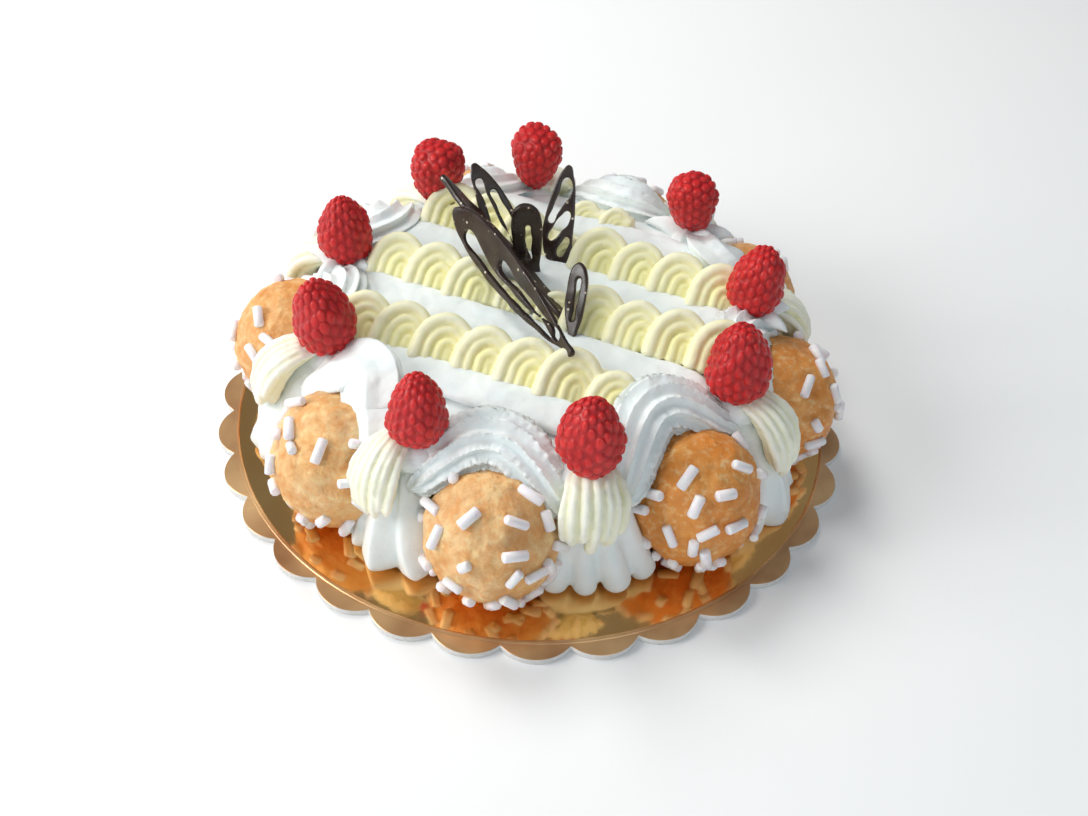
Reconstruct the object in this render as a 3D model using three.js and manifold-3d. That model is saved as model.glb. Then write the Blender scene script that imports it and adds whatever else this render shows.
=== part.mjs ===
// A round chantilly cream cake, ringed with sugared choux puffs, on a gold scalloped card board.
// Millimetres, +Z up. The origin is the centre of the board's underside, and the front faces -Y.
import * as THREE from "three";
import { mergeVertices } from "three/addons/utils/BufferGeometryUtils.js";
import Module from "manifold-3d";

const wasm = await Module();
wasm.setup();

// Driving dimensions

const GAP = 0.4; // air between neighbouring pieces
const DRAPE_GAP = 0.9; // air between draped cream and the round puff below it

const BOARD = { radius: 110, cuspRadius: 105.2, scallops: 31, thickness: 2.4 };
const BEAD = { radius: 103.6, width: 2, height: 0.5, segments: 46 }; // the line pressed round the board
const CAKE = { radius: 58.8, shoulder: 66, top: 46, segments: 36 };
const PUFF = { radius: 21, centreHeight: 20.2, tall: 1.07 }; // tall is how much it is stretched upwards
const NIB = { perPuff: 6, length: 7, thickness: 2.8, spread: 44 }; // pearl sugar; spread is in degrees
const BERRY = { radius: 9.9, height: 25 };
const COLUMN = { footHalfWidth: 12, halfWidth: 7.6, footHalfDepth: 6, topHalfDepth: 2.6 };
const SHELL = { halfWidth: 8.2, depth: 4.6 };
const SWAG = { crest: 51.4, endHeight: 37, endRadius: 81, endOffset: 13, halfWidth: 8.6, thickness: 4.4 };
const ROW = { halfWidth: 8.6, height: 10.6, shell: 14.4 };
const BAND = { halfWidth: 7.1, height: 2.6, rimRadius: 56.5 };
const LEAF = { thickness: 1.6, rim: 2 };

// Bearings in degrees round the cake, anticlockwise from +X. A column of cream stands at each one.
const COLUMN_BEARINGS = [9, 46, 88, 124, 160.6, 198.9, 237.8, 284.2, 331.1];
const COLUMN_REACHES = [5, 0, 0, 0, 3, 4.5, 0, -2.5, 5.5]; // how far out of the usual line each column stands
const COLUMN_FEET = [0, 0, 0, 0, -2, -4, 4, 4.5, 0]; // how far each foot is piped to the side
const PUFF_SHIFTS = [0, 0, 0, 0, -1.5, 2.6, 2, 3.3, 1.2]; // how far each puff sits off the middle of its bay
const PUFF_RINGS = [82.5, 81.5, 81.5, 81.5, 83, 80.2, 81, 80.2, 84]; // and how far out
const BERRY_SHIFTS = [-3.8, -3.2, 4.4, -1.1, 0.7, 0.8, 4.2, -0.1, -0.7]; // berries stand a little off them
const BERRY_RINGS = [72.5, 74, 72.5, 72.5, 69.8, 69.5, 72.5, 72.5, 74.2];
const BERRY_SIZES = [1.05, 0.98, 1.03, 1.03, 1.02, 1.1, 0.94, 1.07, 1.12];
const BERRY_LEANS = [5, -4, 3, -6, 4, 8, -5, 3, -4];
const SWAG_RADII = [70, 74, 71.5, 70, 66.5, 65, 65.5, 65.5, 68.5]; // how far out each swag of cream arches
const ROW_BEARING = -19; // the piped rows on top run along this bearing
// Each row: how far it lies from the middle, where its first shell starts, and how many shells it has
const ROWS = [
  { offset: -31.2, start: -45.5, shells: 6 },
  { offset: 1.4, start: -57.5, shells: 8 },
  { offset: 33.6, start: -46.5, shells: 6 },
  { offset: 55, start: -7, shells: 2, scale: 0.62 },
];
const BAND_OFFSETS = [-14.9, 17.5];
// Each chocolate leaf: where its foot is sunk, where its tip ends, where it faces, its width and its openings
const LEAVES = [
  { foot: [15, -36.8, 55], tip: [-29.5, 27, 66], facing: [-0.79, -0.58, 0.2], width: 17, openings: 2 },
  { foot: [11, -7, 48.6], tip: [-35, 39.5, 71.5], facing: [0.66, 0.33, 0.68], width: 7, openings: 0 },
  { foot: [-4.5, 21, 47.4], tip: [-24.5, 43, 75], facing: [0.1, -0.7, 0.7], width: 11, openings: 2 },
  { foot: [6, 23, 47.4], tip: [5.3, 43, 76.5], facing: [-0.15, -0.7, 0.7], width: 12, openings: 2 },
  { foot: [-3, 17, 47.4], tip: [-5.4, 19.6, 75.5], facing: [0, -1, 0.1], width: 10, openings: 1 },
  { foot: [13, -11, 46.6], tip: [13.5, 2, 66], facing: [-0.4, -0.8, 0.3], width: 7.5, openings: 0 },
];

// Materials, one for each kind of piece

const finish = (color, roughness, metalness = 0) => ({ color, roughness, metalness });
const FINISHES = {
  goldCard: finish(0xb58a55, 0.25, 0.9),
  whiteCream: finish(0xf6f8f5, 0.6),
  yellowCream: finish(0xf2ecbe, 0.55),
  choux: finish(0xdba35a, 0.7),
  redBerry: finish(0xb31f22, 0.45),
  darkChocolate: finish(0x2e1e18, 0.35),
};

// Small helpers

const radians = THREE.MathUtils.degToRad;
const lerp = THREE.MathUtils.lerp;
const UP = new THREE.Vector3(0, 0, 1);
const outward = (bearing) => new THREE.Vector3(Math.cos(radians(bearing)), Math.sin(radians(bearing)), 0);
const sideways = (bearing) => outward(bearing + 90);
const polar = (radius, bearing, z) => outward(bearing).multiplyScalar(radius).setZ(z);

// A repeatable run of numbers from 0 to 1
function seededRandom(seed) {
  let state = seed;
  return () => {
    state = (state * 16807) % 2147483647;
    return state / 2147483647;
  };
}

// Six times the volume inside a mesh is positive when its faces point out; otherwise they are turned round.
function facingOut(geometry) {
  const position = geometry.attributes.position;
  const index = geometry.index.array;
  const corner = (k) => new THREE.Vector3().fromBufferAttribute(position, index[k]);
  let volume = 0;
  for (let k = 0; k < index.length; k += 3) {
    volume += corner(k).dot(corner(k + 1).cross(corner(k + 2)));
  }
  if (volume < 0) {
    for (let k = 0; k < index.length; k += 3) {
      [index[k + 1], index[k + 2]] = [index[k + 2], index[k + 1]];
    }
  }
  return geometry;
}

// Triangles that zigzag across a ring of points
function zigzag(count) {
  const faces = [];
  let low = 0;
  let high = count - 1;
  while (high - low > 1) {
    faces.push([low, low + 1, high]);
    low += 1;
    if (high - low > 1) {
      faces.push([low, high - 1, high]);
      high -= 1;
    }
  }
  return faces;
}

// A closed skin through rings of points, with zigzags over both ends
function loft(rings) {
  const count = rings[0].length;
  const points = rings.flat();
  const last = points.length - count;
  const faces = [];
  for (const [a, b, c] of zigzag(count)) {
    faces.push(c, b, a, last + a, last + b, last + c);
  }
  for (let row = 0; row < last; row += count) {
    for (let j = 0; j < count; j++) {
      const next = (j + 1) % count;
      faces.push(row + j, row + next, row + count + next, row + j, row + count + next, row + count + j);
    }
  }
  return facingOut(new THREE.BufferGeometry().setFromPoints(points).setIndex(faces));
}

// Only the positions of a geometry, with shared corners merged
function bareMesh(geometry) {
  const bare = geometry.index ? geometry.clone() : geometry;
  bare.deleteAttribute("normal");
  bare.deleteAttribute("uv");
  return mergeVertices(bare, 1e-4);
}

function toSolid(geometry) {
  const bare = bareMesh(geometry);
  const vertProperties = new Float32Array(bare.attributes.position.array);
  const triVerts = new Uint32Array(bare.index.array);
  return new wasm.Manifold(new wasm.Mesh({ numProp: 3, vertProperties, triVerts }));
}

function toGeometry(solid) {
  const { vertProperties, triVerts } = solid.getMesh();
  const geometry = new THREE.BufferGeometry();
  geometry.setAttribute("position", new THREE.BufferAttribute(vertProperties, 3));
  geometry.setIndex(new THREE.BufferAttribute(triVerts, 1));
  return geometry;
}

const cake = new THREE.Group();
function addPiece(name, geometry, kind) {
  const piece = new THREE.Mesh(geometry, new THREE.MeshStandardMaterial(FINISHES[kind]));
  piece.name = name;
  cake.add(piece);
}

// Bays: each one lies between two columns, and holds a puff with a swag of cream over it

const bays = COLUMN_BEARINGS.map((from, i) => {
  const to = i + 1 < COLUMN_BEARINGS.length ? COLUMN_BEARINGS[i + 1] : COLUMN_BEARINGS[0] + 360;
  const middle = (from + to) / 2 + PUFF_SHIFTS[i];
  const puffCentre = polar(PUFF_RINGS[i], middle, BOARD.thickness + GAP + PUFF.centreHeight * PUFF.tall);
  return { from, to, middle, puffCentre, swagRadius: SWAG_RADII[i] };
});

// A puff is a ball stretched upwards, so distances to it are measured with the stretch taken out
const unstretched = (vector) => vector.setZ(vector.z / PUFF.tall);

// Moves a point of cream out of any puff that it would sink into
function clearOfPuffs(point) {
  for (const { puffCentre } of bays) {
    const away = unstretched(point.clone().sub(puffCentre));
    const least = PUFF.radius + DRAPE_GAP;
    if (away.length() < least) {
      away.setLength(least);
      point.copy(puffCentre).add(away.setZ(away.z * PUFF.tall));
    }
  }
  return point;
}

// The cake's side: straight behind the puffs, then out over their shoulders to the top edge
const CAKE_SIDE = [
  [CAKE.radius, BOARD.thickness + GAP],
  [CAKE.radius, 27],
  [60.5, 32],
  [63, 36],
  [CAKE.shoulder, 40.5],
  [CAKE.shoulder, 43.6],
  [CAKE.shoulder - 2, CAKE.top],
];

// Board: arcs between cusps, and a fine bead pressed up round it
function makeBoard() {
  const pitch = 360 / BOARD.scallops;
  const halfChord = BOARD.cuspRadius * Math.sin(radians(pitch / 2));
  const rise = BOARD.radius - BOARD.cuspRadius * Math.cos(radians(pitch / 2));
  const arcRadius = (halfChord ** 2 + rise ** 2) / (2 * rise);
  const halfArc = Math.asin(halfChord / arcRadius);
  const outline = new THREE.Shape();
  for (let i = 0; i < BOARD.scallops; i++) {
    const bearing = (i + 0.5) * pitch;
    const centre = outward(bearing).multiplyScalar(BOARD.radius - arcRadius);
    outline.absarc(centre.x, centre.y, arcRadius, radians(bearing) - halfArc, radians(bearing) + halfArc);
  }
  const flat = { depth: BOARD.thickness, bevelEnabled: false, curveSegments: 3 };
  const plate = new THREE.ExtrudeGeometry(outline, flat);
  const low = BOARD.thickness / 2;
  const crest = BOARD.thickness + BEAD.height;
  const section = [
    [BEAD.radius - BEAD.width / 2, low],
    [BEAD.radius + BEAD.width / 2, low],
    [BEAD.radius + BEAD.width / 2, BOARD.thickness],
    [BEAD.radius, crest],
    [BEAD.radius - BEAD.width / 2, BOARD.thickness],
    [BEAD.radius - BEAD.width / 2, low],
  ];
  const bead = new THREE.LatheGeometry(section.map(([r, z]) => new THREE.Vector2(r, z)), BEAD.segments);
  bead.rotateX(Math.PI / 2);
  return toGeometry(toSolid(plate).add(toSolid(facingOut(bareMesh(bead)))));
}

function makeCake() {
  const foot = CAKE_SIDE[0][1];
  const profile = [[0, foot], ...CAKE_SIDE, [0, CAKE.top]].map(([r, z]) => new THREE.Vector2(r, z));
  const body = new THREE.LatheGeometry(profile, CAKE.segments).rotateX(Math.PI / 2);
  return facingOut(bareMesh(body));
}

// Puff: a craggy ball with a flat foot, and nibs of pearl sugar stuck on the side that shows
function makePuff(bay, seed) {
  const random = seededRandom(seed);
  const phases = [random(), random(), random()].map((r) => r * 2 * Math.PI);
  const ball = bareMesh(new THREE.SphereGeometry(PUFF.radius, 12, 8).rotateX(Math.PI / 2));
  const position = ball.attributes.position;
  const point = new THREE.Vector3();
  for (let k = 0; k < position.count; k++) {
    point.fromBufferAttribute(position, k);
    const crag = Math.sin(0.23 * point.x + phases[0]) * Math.sin(0.27 * point.y + phases[1]);
    point.multiplyScalar(0.985 + 0.015 * crag * Math.cos(0.2 * point.z + phases[2]));
    point.z = Math.max(point.z, -PUFF.centreHeight);
    position.setXYZ(k, point.x, point.y, point.z);
  }
  let solid = toSolid(ball);
  const golden = Math.PI * (3 - Math.sqrt(5));
  for (let i = 0; i < NIB.perPuff; i++) {
    const fromOut = radians(NIB.spread) * Math.sqrt((i + 0.5) / NIB.perPuff);
    const turn = i * golden + phases[0];
    const direction = outward(bay.middle).multiplyScalar(Math.cos(fromOut));
    direction.addScaledVector(sideways(bay.middle), Math.sin(fromOut) * Math.cos(turn));
    direction.addScaledVector(UP, Math.sin(fromOut) * Math.sin(turn));
    const nib = new THREE.BoxGeometry(NIB.length * lerp(0.6, 1, random()), NIB.thickness, NIB.thickness);
    nib.rotateZ(random() * Math.PI);
    nib.applyQuaternion(new THREE.Quaternion().setFromUnitVectors(UP, direction));
    nib.translate(...direction.multiplyScalar(PUFF.radius * 0.98));
    solid = solid.add(toSolid(nib));
  }
  return toGeometry(solid).scale(1, 1, PUFF.tall).translate(...bay.puffCentre);
}

// Where berry i stands, and its size
function berryPlace(i) {
  const bearing = COLUMN_BEARINGS[i] + BERRY_SHIFTS[i];
  const foot = polar(BERRY_RINGS[i], bearing, CAKE.top + GAP);
  return { bearing, foot, radius: BERRY.radius * BERRY_SIZES[i], height: BERRY.height * BERRY_SIZES[i] };
}

// Berry: an egg with its tip up, its skin stepped in and out by the small round seeds' rows
function makeBerry(i) {
  const lean = radians(BERRY_LEANS[i]);
  const place = berryPlace(i);
  const rows = 7;
  const around = 10;
  const rings = [];
  for (let row = 0; row <= rows; row++) {
    const t = row / rows;
    const swell = Math.sqrt(Math.sin(Math.PI * lerp(0.1, 0.94, t ** 0.85)));
    const ring = [];
    for (let j = 0; j < around; j++) {
      const bump = (row + j) % 2 ? 0.94 : 1;
      ring.push(polar(place.radius * swell * bump, (360 * (j + 0.5 * (row % 2))) / around, place.height * t));
    }
    rings.push(ring);
  }
  const berry = loft(rings);
  berry.applyQuaternion(new THREE.Quaternion().setFromAxisAngle(sideways(place.bearing), lean));
  return berry.translate(...place.foot).translate(0, 0, 0.55 * place.radius * Math.sin(Math.abs(lean)));
}

// A ring of piped cream round a centre: an oval, fluted on its outer side
function flutedRing(centre, side, out, { halfWidth, front, back, count, flute }) {
  return Array.from({ length: count }, (_, j) => {
    const angle = (2 * Math.PI * j) / count;
    const height = Math.sin(angle);
    const reach = height > 0 ? front * (j % 2 ? 1 : 1 - flute) : back;
    const point = centre.clone().addScaledVector(side, halfWidth * Math.cos(angle));
    return point.addScaledVector(out, reach * height);
  });
}

// The line that a column of cream follows, as radius and height: up from the board, then in under the berry
const COLUMN_LINE = new THREE.CubicBezierCurve(
  new THREE.Vector2(83, BOARD.thickness + GAP),
  new THREE.Vector2(82.5, 20),
  new THREE.Vector2(81, 38),
  new THREE.Vector2(70, 41.8),
);

// The middle of column i at a share t of its line, and which way its front faces there
function columnStation(i, t) {
  const bearing = COLUMN_BEARINGS[i];
  const { x: radius, y: z } = COLUMN_LINE.getPoint(t);
  const { x: along, y: rise } = COLUMN_LINE.getTangent(t);
  const centre = polar(radius + COLUMN_REACHES[i] * (1 - t ** 6), bearing, z);
  centre.addScaledVector(sideways(bearing), COLUMN_FEET[i] * (1 - t) ** 2);
  return { centre, side: sideways(bearing), out: outward(bearing).multiplyScalar(rise).setZ(-along) };
}

function makeColumn(column) {
  const steps = 6;
  const rings = Array.from({ length: steps + 1 }, (_, i) => {
    const t = i / steps;
    const { centre, side, out } = columnStation(column, t);
    const flare = (1 - t) ** 4;
    const depth = lerp(COLUMN.footHalfDepth, COLUMN.topHalfDepth, t);
    const oval = {
      halfWidth: lerp(lerp(COLUMN.halfWidth, 5.5, t), COLUMN.footHalfWidth, flare),
      front: depth,
      back: depth * 0.8,
      count: 12,
      flute: 0.25,
    };
    const floor = BOARD.thickness + GAP;
    const ring = flutedRing(centre, side, out, oval).map(clearOfPuffs);
    return ring.map((p) => p.setZ(i ? Math.max(p.z, floor + i * 0.5) : floor));
  });
  return loft(rings);
}

// Rosette: a fluted shell of yellow cream on the column's front, narrow above and full below
function makeRosette(column) {
  const steps = 6;
  const rings = Array.from({ length: steps + 1 }, (_, i) => {
    const t = i / steps;
    const { centre, side, out } = columnStation(column, lerp(0.9, 0.44, t));
    const fullness = Math.sqrt(Math.sin(Math.PI * lerp(0.06, 0.93, t ** 1.25)));
    const columnDepth = lerp(COLUMN.footHalfDepth, COLUMN.topHalfDepth, lerp(0.9, 0.44, t));
    const back = SHELL.depth * fullness * 0.5;
    centre.addScaledVector(out, columnDepth + GAP + back + 0.3);
    const halfWidth = SHELL.halfWidth * fullness;
    const front = SHELL.depth * fullness;
    const ring = flutedRing(centre, side, out, { halfWidth, front, back, count: 12, flute: 0.22 });
    return ring.map(clearOfPuffs);
  });
  return loft(rings);
}

// How far a point has to move along a direction to lie clear of a puff that its line meets
function liftOffPuff(point, direction, puffCentre) {
  const offset = unstretched(point.clone().sub(puffCentre));
  const step = unstretched(direction.clone());
  const along = offset.dot(step);
  const reach = along ** 2 - step.lengthSq() * (offset.lengthSq() - (PUFF.radius + DRAPE_GAP) ** 2);
  return reach > 0 ? (Math.sqrt(reach) - along) / step.lengthSq() : -Infinity;
}

// Swag: a fluted rope of cream that arches from column to column and lies on the puff below it.
// Its sections stand in upright planes through the cake's axis, so they never cross.
function makeSwag(bay, index) {
  const steps = 8;
  const around = 8;
  const endTurn = THREE.MathUtils.radToDeg(Math.asin(SWAG.endOffset / SWAG.endRadius));
  const rings = Array.from({ length: steps + 1 }, (_, i) => {
    const s = (2 * i) / steps - 1;
    const bearing = lerp(bay.from + endTurn, bay.to - endTurn, i / steps);
    const radius = lerp(bay.swagRadius, SWAG.endRadius, s * s);
    const centre = polar(radius, bearing, lerp(SWAG.crest, SWAG.endHeight, Math.abs(s) ** 2.4));
    const tilt = radians(lerp(24, 62, s * s));
    const face = outward(bearing).multiplyScalar(Math.sin(tilt)).setZ(Math.cos(tilt));
    const across = outward(bearing).multiplyScalar(Math.cos(tilt)).setZ(-Math.sin(tilt));
    const taper = lerp(1, 0.55, Math.abs(s) ** 3);
    return Array.from({ length: around }, (_, j) => {
      const angle = (2 * Math.PI * j) / around;
      const point = centre.clone().addScaledVector(across, SWAG.halfWidth * taper * Math.cos(angle));
      const lift = liftOffPuff(point, face, bay.puffCentre);
      const height = SWAG.thickness * taper * Math.sin(angle);
      const fluted = height * (j % 2 ? 1 : 0.8);
      const reach = height > 0 ? Math.max(fluted, lift + fluted) : Math.max(0.7 * height, lift);
      return point.addScaledVector(face, reach);
    });
  });
  const rope = toSolid(loft(rings));
  return toGeometry(roomRound(bay, index).reduce((solid, neighbour) => solid.subtract(neighbour), rope));
}

// What a swag leaves room for, each a little larger than it is: its puff, the cake, two berries, two columns
function roomRound(bay, index) {
  const puff = new THREE.SphereGeometry(PUFF.radius + DRAPE_GAP / 2, 12, 8).rotateX(Math.PI / 2);
  puff.scale(1, 1, PUFF.tall);
  const body = upright(CAKE.shoulder + GAP, 0, CAKE.top + GAP, CAKE.segments);
  const neighbours = [puff.translate(...bay.puffCentre), body];
  for (const column of [index, (index + 1) % COLUMN_BEARINGS.length]) {
    const { foot, radius } = berryPlace(column);
    neighbours.push(upright(radius + 2 * GAP, CAKE.top - 1, BERRY.height, 10).translate(foot.x, foot.y, 0));
    const width = 2 * (SHELL.halfWidth + GAP);
    const block = new THREE.BoxGeometry(BOARD.radius, width, BOARD.radius);
    block.translate(BOARD.radius, 0, 0).rotateZ(radians(COLUMN_BEARINGS[column]));
    neighbours.push(block);
  }
  return neighbours.map(toSolid);
}

// An upright cylinder from a height z
function upright(radius, z, height, segments) {
  const cylinder = new THREE.CylinderGeometry(radius, radius, height, segments);
  return cylinder.rotateX(Math.PI / 2).translate(0, 0, z + height / 2);
}

// Across the top, u runs along the rows and v across them
const rowAlong = outward(ROW_BEARING);
const rowAcross = sideways(ROW_BEARING);
const onTop = (u, v, z) =>
  new THREE.Vector3(0, 0, z).addScaledVector(rowAlong, u).addScaledVector(rowAcross, v);

// Half-round section that stands on the cake's top
function archRing(u, offset, halfWidth, height) {
  const count = 9;
  const base = CAKE.top + GAP;
  return Array.from({ length: count }, (_, j) => {
    const angle = (Math.PI * j) / (count - 1);
    return onTop(u, offset + halfWidth * Math.cos(angle), base + height * Math.sin(angle));
  });
}

// Row of yellow shells: each swells up and drops behind the next one
function makeRow({ offset, start, shells, scale = 1 }) {
  const SWELL = [
    [0.06, 0.76],
    [0.4, 1],
    [0.85, 0.95],
  ];
  const rings = [];
  for (let i = 0; i < shells; i++) {
    for (const [part, swell] of SWELL) {
      const u = start + (i + part) * ROW.shell * lerp(scale, 1, 0.5);
      rings.push(archRing(u, offset, ROW.halfWidth * swell * scale, ROW.height * swell * scale));
    }
  }
  return loft(rings);
}

// Band of white cream between the rows, with rounded shoulders
function makeBand(offset) {
  const half = Math.sqrt(BAND.rimRadius ** 2 - (Math.abs(offset) + BAND.halfWidth) ** 2);
  const base = CAKE.top + GAP;
  const section = [
    [-1, 0],
    [1, 0],
    [0.97, 0.75],
    [0.8, 1],
    [-0.8, 1],
    [-0.97, 0.75],
  ];
  const ring = (u, size) =>
    section.map(([v, z]) => onTop(u, offset + v * BAND.halfWidth * size, base + z * BAND.height * size));
  return loft([ring(-half, 0.8), ring(-half + 3, 1), ring(half - 3, 1), ring(half, 0.8)]);
}

// Chocolate leaf: a thin blade pierced by long openings, drawn with its foot at the origin and its tip up
function leafOutline(length, halfWidth) {
  const widest = length * 0.58;
  const shape = new THREE.Shape();
  shape.moveTo(0, 0);
  shape.bezierCurveTo(halfWidth * 0.5, length * 0.2, halfWidth, widest * 0.7, halfWidth, widest);
  shape.bezierCurveTo(halfWidth, length * 0.85, halfWidth * 0.45, length, 0, length);
  shape.bezierCurveTo(-halfWidth * 0.45, length, -halfWidth, length * 0.85, -halfWidth, widest);
  shape.bezierCurveTo(-halfWidth, widest * 0.7, -halfWidth * 0.5, length * 0.2, 0, 0);
  return shape;
}

function leafOpening(length, halfWidth, side, openings) {
  const rim = LEAF.rim;
  const inner = openings === 2 ? rim * 0.4 : -(halfWidth - rim) * 0.8;
  const outer = (halfWidth - rim) * 0.95;
  const hole = new THREE.Path();
  const low = (side * (inner + outer)) / 2;
  const high = (side * (inner * 0.4 + outer * 0.9)) / 1.3;
  hole.moveTo(low, length * 0.34);
  hole.quadraticCurveTo(side * outer, length * 0.55, high, length * 0.8);
  hole.quadraticCurveTo(side * inner, length * 0.66, low, length * 0.34);
  return hole;
}

function placeLeaf(geometry, { foot, tip, facing }) {
  const from = new THREE.Vector3(...foot);
  const axis = new THREE.Vector3(...tip).sub(from).normalize();
  const across = axis.clone().cross(new THREE.Vector3(...facing)).normalize();
  const basis = new THREE.Matrix4().makeBasis(across, axis, across.clone().cross(axis)).setPosition(from);
  return geometry.applyMatrix4(basis);
}

const leafLength = ({ foot, tip }) => new THREE.Vector3(...tip).distanceTo(new THREE.Vector3(...foot));

function makeLeaf(leaf) {
  const length = leafLength(leaf);
  const outline = leafOutline(length, leaf.width / 2);
  for (const side of [1, -1].slice(0, leaf.openings)) {
    outline.holes.push(leafOpening(length, leaf.width / 2, side, leaf.openings));
  }
  const flat = { depth: LEAF.thickness, bevelEnabled: false, curveSegments: 5 };
  const blade = new THREE.ExtrudeGeometry(outline, flat);
  return bareMesh(placeLeaf(blade.translate(0, 0, -LEAF.thickness / 2), leaf));
}

// The slit that a leaf leaves in the cream round it
function makeSlit(leaf) {
  const length = leafLength(leaf) + 2 * GAP;
  const thickness = LEAF.thickness + 2 * GAP;
  const outline = leafOutline(length, leaf.width / 2 + GAP);
  const flat = { depth: thickness, bevelEnabled: false, curveSegments: 5 };
  const slit = new THREE.ExtrudeGeometry(outline, flat);
  return toSolid(placeLeaf(slit.translate(0, -GAP, -thickness / 2), leaf));
}

const slits = LEAVES.map(makeSlit);
const withSlits = (geometry) =>
  toGeometry(slits.reduce((solid, slit) => solid.subtract(slit), toSolid(geometry)));

// Assembly

addPiece("board", makeBoard(), "goldCard");
addPiece("cake", withSlits(makeCake()), "whiteCream");
bays.forEach((bay, i) => {
  const number = i + 1;
  addPiece(`puff_${number}`, makePuff(bay, 101 + 17 * i), "choux");
  addPiece(`cream_swag_${number}`, makeSwag(bay, i), "whiteCream");
  addPiece(`cream_column_${number}`, makeColumn(i), "whiteCream");
  addPiece(`cream_rosette_${number}`, makeRosette(i), "yellowCream");
  addPiece(`berry_${number}`, makeBerry(i), "redBerry");
});
ROWS.forEach((row, i) => addPiece(`cream_row_${i + 1}`, withSlits(makeRow(row)), "yellowCream"));
BAND_OFFSETS.forEach((offset, i) => {
  addPiece(`cream_band_${i + 1}`, withSlits(makeBand(offset)), "whiteCream");
});
LEAVES.forEach((leaf, i) => addPiece(`chocolate_leaf_${i + 1}`, makeLeaf(leaf), "darkChocolate"));

export default cake;
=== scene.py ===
# %% [markdown]
# # A chantilly cake, dressed piece by piece
# The solids of a round cream cake are already packed as a fixed frame: a gold board, a cake, nine choux
# puffs, piped cream, berries and chocolate leaves. This lesson keeps their places and makes the surfaces
# that a camera sees. We start by loading the frame.

# %% Load the frame
import math
import random

import bmesh
import bpy
from mathutils import Matrix, Quaternion, Vector
from mathutils.kdtree import KDTree


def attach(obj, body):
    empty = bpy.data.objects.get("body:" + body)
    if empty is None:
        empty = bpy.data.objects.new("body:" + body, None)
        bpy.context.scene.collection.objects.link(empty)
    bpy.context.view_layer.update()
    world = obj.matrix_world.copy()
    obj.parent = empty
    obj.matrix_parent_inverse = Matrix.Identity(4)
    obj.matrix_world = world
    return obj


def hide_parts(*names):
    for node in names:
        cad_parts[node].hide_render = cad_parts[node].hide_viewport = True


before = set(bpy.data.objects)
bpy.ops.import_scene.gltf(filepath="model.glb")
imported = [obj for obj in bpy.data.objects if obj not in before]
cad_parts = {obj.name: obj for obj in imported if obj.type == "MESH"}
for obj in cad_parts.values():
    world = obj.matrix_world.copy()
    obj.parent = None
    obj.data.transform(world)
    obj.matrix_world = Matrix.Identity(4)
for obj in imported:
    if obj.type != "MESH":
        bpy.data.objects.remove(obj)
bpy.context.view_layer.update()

# %% [markdown]
# ## Where everything stands
# The cake is laid out on bearings, in degrees anticlockwise from +X. A column of cream stands at each one.
# Between two columns is a bay, with a puff on the board and a swag of cream over it. The baker placed them
# by eye, so each has its own small shift. All lengths are metres, written as millimetres times MM.

# %% Layout of the cake
MM = 0.001
BOARD_TOP = 2.4 * MM
CAKE_TOP = 46 * MM
PUFF_RADIUS = 20.8 * MM
PUFF_CENTRE_HEIGHT = 23 * MM

COLUMN_BEARINGS = [9, 46, 88, 124, 160.6, 198.9, 237.8, 284.2, 331.1]
COLUMN_REACHES = [5, 0, 0, 0, 3, 4.5, 0, -2.5, 5.5]
COLUMN_FEET = [0, 0, 0, 0, -2, -4, 4, 4.5, 0]
PUFF_SHIFTS = [0, 0, 0, 0, -1.5, 2.6, 2, 3.3, 1.2]
PUFF_RINGS = [82.5, 81.5, 81.5, 81.5, 83, 80.2, 81, 80.2, 84]
PUFF_TALLS = [1.06, 1.05, 1.04, 1.05, 1.06, 1.1, 1.07, 1.12, 1.06]
BERRY_SHIFTS = [-3.8, -3.2, 4.4, -1.1, 0.7, 0.8, 4.2, -0.1, -0.7]
BERRY_RINGS = [72.5, 74, 72.5, 72.5, 69.8, 69.5, 72.5, 72.5, 74.2]
BERRY_SIZES = [1.02, 0.95, 1.0, 1.0, 1.0, 1.08, 0.97, 1.08, 1.1]
BERRY_LEANS = [5, -4, 3, -6, 4, 8, -5, 3, -4]
SWAG_RADII = [70, 74, 71.5, 70, 66.5, 65, 65.5, 62.5, 68.5]
COUNT = len(COLUMN_BEARINGS)
UP = Vector((0, 0, 1))
SHARP_EDGE = math.radians(60)


def lerp(a, b, share):
    return a + (b - a) * share


def outward(bearing):
    angle = math.radians(bearing)
    return Vector((math.cos(angle), math.sin(angle), 0))


def sideways(bearing):
    return outward(bearing + 90)


def polar(radius, bearing, height):
    return outward(bearing) * radius + UP * height


class Bay:
    """The room between two columns: where it starts and ends, and where its puff sits."""

    def __init__(self, index):
        self.start = COLUMN_BEARINGS[index]
        self.end = COLUMN_BEARINGS[(index + 1) % COUNT]
        if self.end < self.start:
            self.end += 360
        self.middle = (self.start + self.end) / 2 + PUFF_SHIFTS[index]
        self.puff_tall = PUFF_TALLS[index]
        height = lerp(BOARD_TOP, PUFF_CENTRE_HEIGHT, self.puff_tall)
        self.puff_centre = polar(PUFF_RINGS[index] * MM, self.middle, height)
        self.swag_radius = SWAG_RADII[index] * MM


BAYS = [Bay(index) for index in range(COUNT)]
print(COUNT, "bays, with puffs at bearings", [round(bay.middle, 1) for bay in BAYS])

# %% [markdown]
# ## The camera
# The photo looks down on the cake from the front at about 44 degrees. A camera was fitted to the board's
# ring and scallops, which gives its place, its lens and a small roll. The shift puts the cake a little left
# of the middle, as the photo has it.

# %% Camera
CAMERA_PLACE = (0, -0.34157, 0.32847)
CAMERA_PITCH = 46.33
CAMERA_ROLL = 3.14
CAMERA_SHIFT = (0.0119, -0.0022)
LENS = 43.54
SENSOR_WIDTH = 36

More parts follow.
